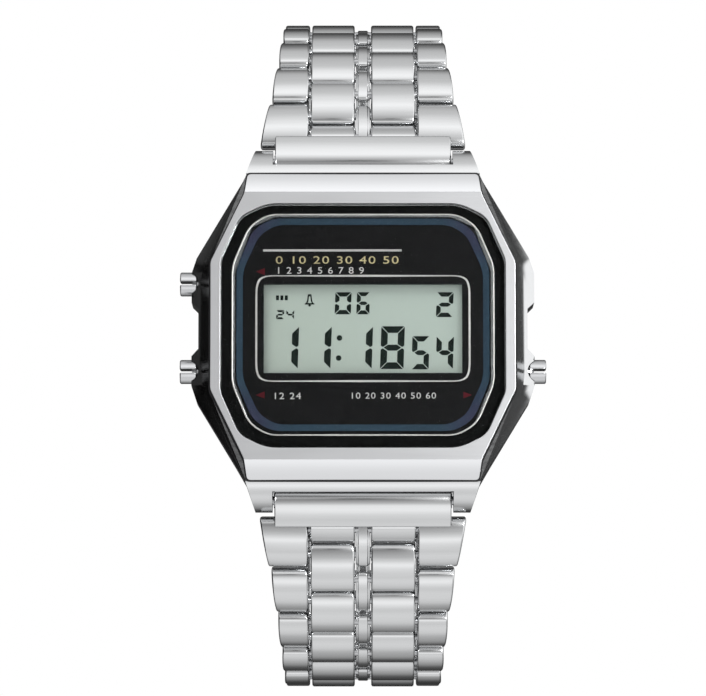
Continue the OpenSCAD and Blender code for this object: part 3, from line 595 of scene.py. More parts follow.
def finishes():
    """Every finish by its own name, made once."""
    if made_materials:
        return made_materials
    tone = bpy.context.scene.watch_colours
    made_materials.update({
        # Stainless steel links, tumbled then buffed across: bright, soft streaks along X.
        "link": brushed("stainless_steel_buffed", tone.steel, 0.17, 0.03,
                        (9, 0.22, 0.22), 0.0012, 0.04),
        # Spring steel wire, drawn and ground: its lines run round it.
        "pin": brushed("spring_steel_ground", linear("#b9babc"), 0.26, 0.05,
                       (0.12, 1.5, 1.5), 0.002, 0.08),
        # Plated zinc case, polished: mirror-like with a trace of orange peel.
        "case": brushed("plated_case_polished", tone.case, 0.15, 0.03,
                        (4, 0.5, 0.5), 0.001, 0.03),
        # Plated bezel plate with a belt-brushed satin: long fine lines along X.
        "bezel": brushed("plated_bezel_satin", tone.plate, 0.29, 0.012,
                         (12, 0.16, 0.16), 0.0005, 0.01),
        # Stamped clasp sheet, belt-brushed along its length.
        "clasp": brushed("clasp_sheet_brushed", linear("#c4c5c7"), 0.27, 0.05,
                         (0.14, 0.4, 10), 0.004, 0.09),
        # Case back of pressed steel, brushed up and down.
        "back": brushed("back_plate_brushed", linear("#bfc0c2"), 0.3, 0.05,
                        (0.14, 0.4, 9), 0.004, 0.1),
        # Small plated screws and clips: brighter, turned all over.
        "screw": brushed("screw_steel_turned", linear("#c9cacc"), 0.22, 0.05,
                         (0.1, 0.1, 0.1), 0.003, 0.06),
        "crystal": crystal_glass(),
        # Screen-print ink on the crystal's back: deep black, with no gloss of its own.
        "border": moulded("screen_ink_black", tone.border, 0.4, 0.2, 0.001, 0.1,
                           gloss=0.04),
        "ring": ring_print(tone.ring, tone.ring_corner_sheen),
        # Adhesive film round the bezel plate: black, with a dull cut edge. It is painted shade:
        # the black band stands in for the shadow line where the plate meets the case.
        "film": moulded("black_film_seam_shade", linear("#202022"), 0.6, 0.15, 0.002, 0.1,
                        gloss=0.3),
        # Hot-foil line: bright silver, slightly uneven where the foil lets go.
        "foil": brushed("hot_foil_silver", linear("#b9b5b2"), 0.36, 0.06,
                        (0.3, 0.3, 0.3), 0.002, 0.12),
        # Lacquered dial plate: nearly black with a fine eggshell grain.
        "dial": moulded("dial_lacquer_black", tone.dial, 0.45, 0.15, 0.002, 0.12, gloss=0.06),
        "light_print": moulded("screen_ink_silver_white", tone.light_print, 0.5, 0.1,
                               0.001, 0.08),
        "gold_print": moulded("screen_ink_pale_gold", tone.gold_print, 0.45, 0.1, 0.001,
                              0.1, 0.4),
        "red_print": moulded("screen_ink_dark_red", tone.red_print, 0.5, 0.1, 0.001, 0.1,
                             gloss=0.1),
        "display": display_glass(tone.display),
        # Switched liquid crystal: near black with a green cast, no gloss of its own.
        "digit": moulded("liquid_crystal_dark", tone.digit, 0.5, 0.08, 0.0, 0.15, gloss=0.1),
        # Aluminised reflector foil behind the display: matt silver crepe.
        "reflector": brushed("reflector_foil_matt", linear("#b8bcba"), 0.5, 0.08,
                             (0.3, 0.3, 0.3), 0.006, 0.1),
        # Moulded acetal module frame, grey.
        "frame": moulded("acetal_frame_moulded", linear("#55575b"), 0.45, 0.3, 0.004),
        # Zebra strips: silicone rubber with carbon layers 0.18 mm apart along X.
        "rubber": moulded("silicone_strip_pink", linear("#c7a08f"), 0.6, 0.18, 0.003, 0.3),
        "board": laminate(),
        # Epoxy drop over the chip: black, glossy, slightly wavy.
        "epoxy": moulded("epoxy_drop_black", linear("#0d0d0f"), 0.22, 0.5, 0.01, 0.1),
        "can": brushed("crystal_can_nickel", linear("#c3c2bd"), 0.22, 0.04,
                       (0.2, 0.2, 3), 0.002),
        # Lamp resin: warm white and cloudy.
        "lamp": moulded("lamp_resin_clouded", linear("#e8e2c6"), 0.3, 0.4, 0.004, 0.06),
        # Gilt phosphor bronze springs.
        "gilt": brushed("phosphor_bronze_gilt", linear("#c9a45c"), 0.28, 0.05,
                        (0.1, 0.1, 2), 0.002),
        # Nitrile seals and gasket: soft matt black with talc dust.
        "seal": moulded("nitrile_rubber_black", linear("#1a1a1b"), 0.75, 0.12, 0.004, 0.3),
        "battery": brushed("battery_steel_nickelled", linear("#cdccc8"), 0.24, 0.05,
                           (0.5, 0.5, 0.5), 0.002, 0.06),
    })
    return made_materials


# -------------------------------------------------------------- bracelet


def hinge_place(name):
    """Y and Z of a joint's axis, in mm."""
    return np.array(JOINTS[name]["pos_m"][1:]) / MM


def chain(side):
    """Places of one side's hinges in order, from the spring bar to the clasp's bar."""
    names = [f"end_link_{side}_pivot"]
    names += [f"link_{side}_{k:02d}_hinge" for k in range(1, LINK_COUNT + 1)]
    last = box_mm(f"clasp_bar_{side}").mean(0)[1:]
    return np.vstack([[hinge_place(name) for name in names], last])


def link_axes(places, k, side):
    """Origin, direction along the bracelet and direction outwards of link k."""
    step = places[k + 1] - places[k]
    along = step / np.linalg.norm(step)
    turn = 1 if side == "12" else -1
    return places[k], along, turn * np.array([-along[1], along[0]])


def outer_edge(k, u, sizes):
    """Half width of the bracelet over link k at the distances u from its first pin. The
    row width is the last width plus a share that decays by e every 1.75 links; the edge
    is the parabola through its values at the link's front, middle and rear."""
    pitch = 5.5
    taper = 1.75
    rows = np.array([k - 1, k - 0.58, k - 0.28])
    bulge = np.array([0, 0.12, 0])
    width = sizes.last_row + (sizes.first_row - sizes.last_row) * np.exp(-rows / taper)
    return np.polyval(np.polyfit(np.array([-0.25, 0.25, 0.75]) * pitch,
                                 width / 2 + bulge, 2), u)


class WATCH_OT_links(Operator):
    """Makes the bracelet's links: crowned outer and middle links, the centre connector
    between them and the two pins of each row"""

    bl_idname = "watch.make_links"
    bl_label = "Links"

    def execute(self, context):
        sizes, material = sizes_mm(context), finishes()
        crown, edge = sizes.link_crown, sizes.link_edge
        middle, inner = sizes.middle / 2, sizes.slot / 2
        rest = middle - sizes.side_gap
        strip, base = sizes.connector / 2, sizes.connector_base / 2
        height = sizes.connector_height / 2
        for side in SIDES:
            places = chain(side)
            pitch = np.linalg.norm(places[3] - places[2])
            outer = link_outline(0, pitch / 2, LINK_RADIUS, crown)
            centre = link_outline(pitch / 2, pitch, LINK_RADIUS, crown)
            bridge = link_outline(0, pitch / 2 + 0.6, height, crown)
            under = link_outline(0, pitch / 2 + 0.6, height - 0.15, crown)
            pin_half = sizes.last_row / 2 - 0.5
            for k in range(1, LINK_COUNT + 1):
                reach = outer_edge(k, outer[:, 0], sizes)
                shells = [*both_sides(outer, middle, reach, edge),
                          *both_sides(centre, inner, rest, edge),
                          carried(bridge, -strip, strip, 0.14),
                          carried(under, -base, base, 0.1)]
                for u in (0, pitch / 2):
                    pin = disc_outline(sizes.pin / 2, (u, 0), 28)
                    shells.append((*carried(pin, -pin_half, pin_half, 0.08, 2), 1))
                axes = link_axes(places, k, side)
                shells = [(*laid(shell[:2], *axes), *shell[2:]) for shell in shells]
                node = f"link_{side}_{k:02d}"
                build(f"row_{side}_{k:02d}", shells, [material["link"], material["pin"]],
                      node, (node,))
        return {"FINISHED"}


class WATCH_OT_end_links(Operator):
    """Makes the two end links: a barrel on the spring bar, whose crowned shell runs over
    the first row, with two tongues between the outer links"""

    bl_idname = "watch.make_end_links"
    bl_label = "End links"
    barrel = 1.6
    shoulder = 1.85
    skirt = 1.37

    def execute(self, context):
        sizes, material = sizes_mm(context), finishes()
        half = box_mm("end_link_12")[1, 0]
        middle, inner = sizes.middle / 2 - sizes.side_gap, sizes.slot / 2
        for side in SIDES:
            places = chain(side)
            reach = np.linalg.norm(places[1] - places[0])
            shell = self.side_view(reach, sizes.end_crown)
            tongue = self.tongue_view(reach, sizes.end_crown)
            shells = [carried(shell, -half, half, 0.15),
                      *both_sides(tongue, inner, middle, 0.15)]
            axes = link_axes(places, 0, side)
            node = f"end_link_{side}"
            build(f"barrel_link_{side}", [laid(s, *axes) for s in shells],
                  [material["link"]], node, (node,))
        return {"FINISHED"}

    def crown_line(self, u, crown):
        """Height of the crown at u: a circle whose top is the shoulder's, at u = 0.2."""
        return self.shoulder - crown + np.sqrt(crown ** 2 - (u - 0.2) ** 2)

    def side_view(self, reach, crown):
        """Barrel round the spring bar with a wider shoulder towards the case, its web
        towards the bracelet and the crowned skirt over the first row, as one outline."""
        low, web, lip = -LINK_RADIUS, reach - self.skirt, reach - 0.65
        end = 2 * math.pi + math.asin(low / self.barrel)
        arcs = [radius * np.stack([np.cos(arc), np.sin(arc)], 1) for radius, arc in (
            (self.shoulder, np.linspace(math.pi / 2 + 0.02, math.pi - 0.1, 26)),
            (self.barrel, np.linspace(math.pi + 0.08, end, 30)))]
        u = np.linspace(lip, 0.05, 20)
        crowned = np.stack([u, self.crown_line(u, crown)], 1)
        corners = softened([[web, low], [web, self.skirt], [lip, self.skirt], crowned[0]],
                           [0.2, 0.1, 0.05, 0.12])
        return evenly(np.vstack([corners, crowned[1:], *arcs]), 120)

    def tongue_view(self, reach, crown):
        """The tongue: the same web with a round end about the first row's pin, under the
        same crown."""
        angle = np.linspace(-math.pi / 2, math.pi / 2, 24)
        end = np.stack([reach + LINK_RADIUS * np.cos(angle), LINK_RADIUS * np.sin(angle)], 1)
        u = np.linspace(reach, 0.4, 14)[1:]
        outline = np.vstack([[[0.4, -LINK_RADIUS]], end,
                             np.stack([u, np.full(len(u), self.skirt)], 1)])
        outline[:, 1] = np.minimum(outline[:, 1], self.crown_line(outline[:, 0], crown))
        return evenly(outline, 90)


class WATCH_OT_clasp(Operator):
    """Makes the clasp: the channel-shaped cover with its grooves and its knuckle, and the
    two folding leaves of brushed sheet"""

    bl_idname = "watch.make_clasp"
    bl_label = "Clasp"

    def execute(self, context):
        material = finishes()
        half, back, end = box_mm("clasp_cover")[1]
        depth = box_mm("clasp_bar_12").mean(0)[1]
        top = back - depth
        wall, sheet = 0.6, 0.6
        bottom = -LINK_RADIUS
        groove = np.array([[0.09, 0], [0.05, -0.1], [-0.05, -0.1], [-0.09, 0]])
        face = []
        for x in (5.6, 0.9, -0.9, -5.6):
            face.extend((groove + [x, top]).tolist())
        corners = [[half - wall, bottom], [half, bottom], [half, top], *face, [-half, top],
                   [-half, bottom], [-half + wall, bottom], [-half + wall, top - sheet],
                   [half - wall, top - sheet]]
        radius = [0.12, 0.12, 0.9] + [0.03] * len(face) + [0.9, 0.12, 0.12, 0.4, 0.4]
        outline = softened(corners, radius, 7)
        pin = hinge_place("clasp_cover_hinge")
        points, faces = carried(outline, pin[1], end, 0.15, 3)
        points = np.stack([points[:, 1], depth + points[:, 2], points[:, 0]], 1)
        knuckle_half = 2.2
        knuckle = carried(disc_outline(0.85, pin, 36), -knuckle_half, knuckle_half, 0.1)
        build("clasp_cover_shell", [(points, faces), knuckle], [material["clasp"]],
              "clasp_cover", ("clasp_cover",))
        for node in ("clasp_inner_leaf", "clasp_middle_leaf"):
            merged_copy(node, f"{node}_sheet", [material["clasp"]])
        return {"FINISHED"}


# ------------------------------------------------------------------ case


def window_reaches(angle):
    """Reaches of the bezel's window and of the printed outlines inside it."""
    window = [[14.15, 6.6], [12.25, 10.9], [9.6, 12.2]]
    line = [[12.98, 5.9], [11.3, 9.85], [9.4, 11.03]]
    ring = [[12.55, 5.7], [10.95, 9.45], [9.1, 10.61]]
    dial = [[11.93, 5.4], [10.3, 8.95], [8.6, 9.97]]
    return [star_reach(quarter, angle, radii) for quarter, radii in (
        (window, (0.5, 0.9, 1.1)), (line, (0.9, 1, 0.95)), (ring, (0.9, 1, 0.95)),
        (dial, (0.9, 0.9, 0.85)))]


class WATCH_OT_bezel(Operator):
    """Makes the bezel plate: flat front, curved fall at both ends behind a crisp crease,
    broken window edge, and the black film, painted shade, that draws the shadow line where it
    meets the case"""

    bl_idname = "watch.make_bezel"
    bl_label = "Bezel"

    def execute(self, context):
        edge = sizes_mm(context).bezel_edge
        angle = np.linspace(0, 2 * math.pi, 720, endpoint=False)
        half, _, end = box_mm("bezel_plate")[1]
        crease = 13.35
        thick = 1.4
        seam = 0.14
        bezel = [[half, 6.4], [half - 3.4, crease], [half - 3.7, end]]
        outer = star_reach(bezel, angle, 0.35)
        reaches = [window_reaches(angle)[0], outer - seam]
        turn = np.linspace(0, math.pi / 2, 5)
        section = [(0, 0, thick)]
        section += [(0, edge * (1 - math.cos(a)), edge * (1 - math.sin(a))) for a in turn]
        section += [(0, edge + 0.05, 0), (1, -edge - 0.05, 0)]
        section += [(1, -edge * (1 - math.sin(a)), edge * (1 - math.cos(a))) for a in turn]
        section += [(1, 0, thick)]
        points, faces = ring_band(reaches, section, angle)
        mesh = bpy.data.meshes.new("bezel_face_plate")
        mesh.from_pydata(points.tolist(), [], faces)
        with edited(mesh) as work:
            for z in np.linspace(crease, end - 0.02, 10):
                for side in (1, -1):
                    cut = work.verts[:] + work.edges[:] + work.faces[:]
                    bmesh.ops.bisect_plane(work, geom=cut, plane_co=(0, 0, side * z),
                                           plane_no=(0, 0, 1))
            bmesh.ops.recalc_face_normals(work, faces=work.faces)
        co = values_of(mesh.vertices, "co", 3)
        # The end falls by a parabola: slope 0.43 at the crease, 0.79 at the case.
        past = np.maximum(np.abs(co[:, 2]) - crease, 0)
        depth = co[:, 1] - FRONT_Y
        fallen = np.minimum(depth + 0.43 * past + 0.088 * past ** 2, thick - 0.15)
        co[:, 1] = FRONT_Y + np.where(depth < thick - 0.01, fallen, depth)
        mesh.vertices.foreach_set("co", (co * MM).ravel())
        # Only the crease is sharp: both ends of its edges lie on it.
        ends = values_of(mesh.edges, "vertices", 2, int)
        on_crease = np.abs(np.abs(co[:, 2]) - crease) < 1e-4
        mesh.edges.foreach_set("use_edge_sharp", on_crease[ends].all(1))
        placed("bezel_face_plate", mesh, [finishes()["bezel"]], "case",
               ("bezel_plate",))
        # The adhesive film: a black band, painted shade, that draws the seam's shadow line
        # between the plate and the case.
        hidden, shown = -0.1, seam + 0.07
        film = [(1, hidden, thick - 0.06), (1, shown, thick - 0.06), (1, shown, thick),
                (1, hidden, thick)]
        printed("bezel_seam_shade_film", [ring_band(reaches, film, angle)], "film")
        return {"FINISHED"}


class WATCH_OT_case(Operator):
    """Makes the polished case and its brushed back"""

    bl_idname = "watch.make_case"
    bl_label = "Case"

    def execute(self, context):
        material = finishes()
        shell = merged_copy("case_body", "case_shell", [material["case"]], 18)
        # A lug's front is an arc from the bezel's foot to the round tip round the bar.
        bar_y, bar_z = hinge_place("end_link_12_pivot")
        end, plate_high = box_mm("case_body")[1, 2], box_mm("bezel_plate")[1]
        reach, drop = end - plate_high[2], bar_y - plate_high[1]
        radius = (reach ** 2 + drop ** 2) / (2 * reach)
        exact_arcs(shell, [(bar_y, side * z, r) for side in (1, -1)
                           for z, r in ((end - radius, radius), (bar_z, end - bar_z))])
        merged_copy("case_back", "case_back_plate", [material["back"]])
        return {"FINISHED"}


class WATCH_OT_buttons(Operator):
    """Makes the three buttons: each head is two half rounds with a slot between them
    and a rounded rim, on its stem"""

    bl_idname = "watch.make_buttons"
    bl_label = "Buttons"

    def execute(self, context):
        material = finishes()
        for node in ("button_light", "button_mode", "button_start"):
            low, high = box_mm(node)
            radius = (high[2] - low[2]) / 2
            middle = (low + high)[1:] / 2
            side = -1 if low[0] < 0 else 1
            tip = high[0] if side > 0 else -low[0]
            stem = low[0] if side > 0 else -high[0]
            head, cut, rim, stem_radius = 1.7, 0.19, 0.17, 0.7
            shells = []
            for turn in (0, math.pi):
                # A half round: the arc above the slot, closed by the slot's straight wall.
                start = math.asin(cut / radius)
                arc = np.linspace(start, math.pi - start, 26) + turn
                half = np.stack([radius * np.cos(arc), radius * np.sin(arc)], 1)
                shells.append(carried(evenly(half, 60) + middle, tip - head, tip, rim, 5))
            shells.append(carried(disc_outline(stem_radius, middle, 32), stem,
                                  tip - head + 0.1, 0.1, 2))
            shells = [(points * [side, 1, 1], faces) for points, faces in shells]
            build(f"{node}_head", shells, [material["screw"]], node, (node,))
        return {"FINISHED"}


class WATCH_OT_crystal(Operator):
    """Makes the crystal with its polished edge, and the prints on its back: the black
    border, the silver line and the slate blue ring"""

    bl_idname = "watch.make_crystal"
    bl_label = "Crystal"

    def execute(self, context):
        sizes, material = sizes_mm(context), finishes()
        angle = np.linspace(0, 2 * math.pi, 480, endpoint=False)
        window, line, ring, dial = window_reaches(angle)
        front, back = box_mm("crystal")[:, 1] - FRONT_Y
        direction = np.stack([np.cos(angle), np.sin(angle)], 1)
        outline = direction * (window - 0.03)[:, None]
        # The prints lie that far above the middle of the window.
        raised = 0.18
        glass = plate(outline, front, back - 0.05, sizes.crystal_edge, 4)
        build("crystal_slab", [glass], [material["crystal"]], "case",
              ("crystal",))
        half = sizes.print_line / 2
        under, seat = back - 0.045, back - 0.012
        border = [(0, -0.1, under), (1, 0, under), (1, 0, seat), (0, -0.1, seat)]
        printed("crystal_border_print",
                [ring_band([window, line], border, angle, (0, raised, raised, 0))], "border")
        round_line = [(0, half * math.cos(a), under - 0.004 + 0.016 * (1 - math.sin(a)))
                      for a in np.linspace(0, math.pi, 7)]
        round_line += [(0, -half, seat), (0, half, seat)]
        build("crystal_line_foil", [ring_band([line], round_line, angle, raised)],
              [material["foil"]], "case")
        band = [(0, 0, under + 0.005), (1, 0, under + 0.028), (1, 0, seat + 0.01),
                (0, 0, seat + 0.01)]
        printed("dial_ring_print", [ring_band([ring, dial], band, angle, raised)], "ring")
        return {"FINISHED"}


# ------------------------------------------------------------------ dial


def digit_prints(text, size, left, base, stretch, depth, thick=INK):
    """Plain printed numbers as one closed shell list: the font's outlines, filled and
    given a thickness, then set at their place on the dial."""
    curve = bpy.data.curves.new("numbers", "FONT")
    curve.body = text
    curve.size = size
    curve.space_character = 1.15
    curve.extrude = thick / 2
    curve.resolution_u = 4
    carrier = bpy.data.objects.new("numbers", curve)
    bpy.context.scene.collection.objects.link(carrier)
    bpy.context.view_layer.update()
    mesh = bpy.data.meshes.new_from_object(carrier.evaluated_get(
        bpy.context.evaluated_depsgraph_get()))
    co = values_of(mesh.vertices, "co", 3)
    faces = [list(face.vertices) for face in mesh.polygons]
    points = np.stack([left + co[:, 0] * stretch, FRONT_Y + depth - thick / 2 - co[:, 2],
                       base + co[:, 1]], 1)
    bpy.data.objects.remove(carrier)
    bpy.data.curves.remove(curve)
    bpy.data.meshes.remove(mesh)
    return points, faces


def flat_mark(outline, depth, thick=INK):
    """A printed mark: an outline in X and Z, raised by the ink's thickness."""
    return plate(np.asarray(outline, float), depth - thick, depth, thick / 4, 1)


def mark_box(x0, x1, z0, z1, depth, radius=0.02):
    """A printed bar with softened corners."""
    return flat_mark(softened([[x0, z0], [x1, z0], [x1, z1], [x0, z1]], radius, 4), depth)


class WATCH_OT_dial(Operator):
    """Prints the dial: a silver white rule, plain numbers, red pointers to the buttons
    and the silver frame line round the display"""

    bl_idname = "watch.make_dial"
    bl_label = "Dial print"

    def execute(self, context):
        depth = box_mm("dial_plate")[0, 1] - FRONT_Y
        light = [mark_box(-9.92, 3.85, 7.5, 7.72, depth)]
        for text, size, left, base, stretch in (
                ("1 2 3 4 5 6 7 8 9", 0.94, -8.65, 5.28, 1.18),
                ("12 24", 0.92, -8.95, -7.25, 1.2),
                ("10 20 30 40 50 60", 0.86, -1.3, -7.2, 1.16)):
            light.append(digit_prints(text, size, left, base, stretch, depth))
        printed("dial_light_print", light, "light_print")
        gold = digit_prints("0 10 20 30 40 50", 1.08, -8.7, 6.28, 1.42, depth)
        printed("dial_gold_print", [gold], "gold_print")
        red = []
        for x, z, way in ((-9.75, 5.48, -1), (-9.75, -6.85, -1), (9.95, -6.85, 1)):
            red.append(flat_mark([[x, z + 0.33 * way], [x, z - 0.33 * way],
                                  [x + 0.85 * way, z]][::way], depth))
        printed("dial_red_print", red, "red_print")
        # The display's frame line: a rounded rectangle of half width wide, half height high.
        angle = np.linspace(0, 2 * math.pi, 240, endpoint=False)
        middle = box_mm("lcd_panel").mean(0)[2]
        wide, high, corner, cut = 10.58, 5.26, 1.0, 0.3
        quarter = [[wide, high - corner], [wide - cut, high - cut], [wide - corner, high]]
        reach = quarter_reach(quarter, angle, 110)
        half, ink = sizes_mm(context).print_line / 2, depth - INK
        section = [(0, half, depth), (0, half, ink), (0, -half, ink), (0, -half, depth)]
        printed("dial_frame_line", [ring_band([reach], section, angle, middle)], "foil")
        return {"FINISHED"}


SEGMENTS = {"0": "abcdef", "1": "bc", "2": "abged", "4": "fgbc", "5": "afgcd",
            "6": "afgedc", "8": "abcdefg"}


def segment_outlines(width, height, thick):
    """The seven segments of one digit, as outlines from its lower left corner. Each is
    a bar whose ends are cut at 45 degrees, a small gap short of its neighbours."""
    t, g = thick, min(0.055, thick * 0.14)
    w, h, m = width, height, height / 2
    top = [[g, h], [t + g * 0.4, h - t], [w - t - g * 0.4, h - t], [w - g, h]]
    bottom = [[w - g, 0], [w - t - g * 0.4, t], [t + g * 0.4, t], [g, 0]]
    lean = t * 0.45
    middle = [[g + t * 0.35, m], [t + g, m - lean], [w - t - g, m - lean],
              [w - g - t * 0.35, m], [w - t - g, m + lean], [t + g, m + lean]]
    left_high = [[0, h - g], [0, m + g + t * 0.2], [t * 0.32, m + g], [t, m + lean + g],
                 [t, h - t - g]]
    right_high = [[w - x, z] for x, z in left_high][::-1]
    left_low = [[x, h - z] for x, z in left_high][::-1]
    right_low = [[w - x, h - z] for x, z in left_high]
    return {"a": top, "d": bottom, "g": middle, "f": left_high, "b": right_high,
            "e": left_low, "c": right_low}


def shown_digit(figure, left, base, width, height, thick, depth, lean=0.035):
    """A display digit: its lit segments, leaned to the right by a share of its height."""
    shells = []
    for name in SEGMENTS[figure]:
        outline = np.asarray(segment_outlines(width, height, thick)[name], float)
        outline = softened(outline, min(0.06, thick * 0.14), 3)
        area = np.sum(outline[:, 0] * np.roll(outline[:, 1], -1)
                      - outline[:, 1] * np.roll(outline[:, 0], -1))
        outline = outline if area > 0 else outline[::-1]
        outline = np.stack([left + outline[:, 0] + lean * (outline[:, 1] - height / 2),
                            base + outline[:, 1]], 1)
        shells.append(flat_mark(outline, depth, 0.01))
    return shells


class WATCH_OT_display(Operator):
    """Shows the time on the display: large hours and minutes, small seconds, the day
    above, a bell and a small row of bars"""

    bl_idname = "watch.make_display"
    bl_label = "Display"

    def execute(self, context):
        depth = box_mm("lcd_panel")[0, 1] - FRONT_Y
        shells = []
        # Lower edge, width, height and bar width of the main, the seconds' and the small digits.
        main, seconds = (-4.17, 2.34, 4.28, 0.67), (-4.2, 1.72, 3.32, 0.54)
        small = (0.82, 0.78, 0.9, 0.2)
        for figure, left, form in (
                ("1", -8.75, main), ("1", -5.5, main), ("1", -1.4, main), ("8", 1.76, main),
                ("5", 4.86, seconds), ("4", 7.27, seconds), ("2", 7.3, (1.02, 1.68, 2.5, 0.45)),
                ("0", -2.78, (1.3, 1.62, 2.22, 0.44)), ("6", -0.62, (1.3, 1.3, 2.22, 0.4)),
                ("2", -8.62, small), ("4", -7.62, small)):
            shells += shown_digit(figure, left, *form, depth)
        for x, z in ((-2.33, -1.06), (-2.41, -3.07)):
            shells.append(flat_mark(disc_outline(0.28, (x, z), 24), depth, 0.01))
        for x in (-8.5, -8.06, -7.62):
            shells.append(mark_box(x - 0.15, x + 0.15, 2.72, 3.2, depth, 0.03))
        shells += self.bell(-5.3, 2.18, depth)
        printed("display_segments", shells, "digit")
        return {"FINISHED"}

    def bell(self, x, z, depth):
        """A bell: a dome's outline 0.14 mm wide that flares to its rim, a rim bar and a
        clapper."""
        t = np.linspace(0, 1, 12)
        flare = 0.16 + 0.1 * np.sqrt(t) + 0.22 * t ** 5
        right = np.stack([flare, 1.02 * (1 - t) + 0.12], 1)
        outer = np.vstack([right[::-1], right * [-1, 1]])
        inner = np.vstack([[[0.22, 0.26]], right[8:1:-1] - [0.14, 0.04],
                           right[2:9] * [-1, 1] + [0.14, -0.04], [[-0.22, 0.26]]])
        count = 60
        pair = np.stack([evenly(outer, count), evenly(inner, count)]) + [x, z]
        rings = np.concatenate([pair[0], pair[1], pair[1], pair[0]])
        back = np.repeat([FRONT_Y + depth - 0.01, FRONT_Y + depth], 2 * count)
        dome = (np.stack([rings[:, 0], back, rings[:, 1]], 1),
                grid_faces(4, count, joined=True))
        clapper = flat_mark(disc_outline(0.13, (x, z + 0.02), 16), depth, 0.01)
        return [dome, mark_box(x - 0.48, x + 0.48, z + 0.1, z + 0.24, depth), clapper]


class WATCH_OT_inner_parts(Operator):
    """Gives the module, the battery, the seals, the bars and the pins their finishes"""

    bl_idname = "watch.finish_inner_parts"
    bl_label = "Inner parts"

    def execute(self, context):
        material = finishes()
        finish = {
            "dial_plate": "dial", "lcd_panel": "display", "lcd_reflector": "reflector",
            "module_frame": "frame", "contact_strips": "rubber", "circuit_board": "board",
            "chip": "epoxy", "quartz_can": "can", "lamp": "lamp", "switch_leaves": "gilt",
            "battery": "battery", "battery_clip": "gilt", "sounder_disc": "gilt",
            "back_screws": "screw", "back_gasket": "seal", "button_seals": "seal",
            "clip_light": "screw", "clip_mode": "screw", "clip_start": "screw",
            "spring_bar_12": "pin", "spring_bar_6": "pin", "clasp_pin_top": "pin",
            "clasp_pin_bottom": "pin", "clasp_bar_12": "pin", "clasp_bar_6": "pin",
        }
        for node, name in finish.items():
            piece = frame["nodes"][node]
            piece.data.materials.clear()
            piece.data.materials.append(material[name])
        return {"FINISHED"}


# ----------------------------------------------------------------- stage


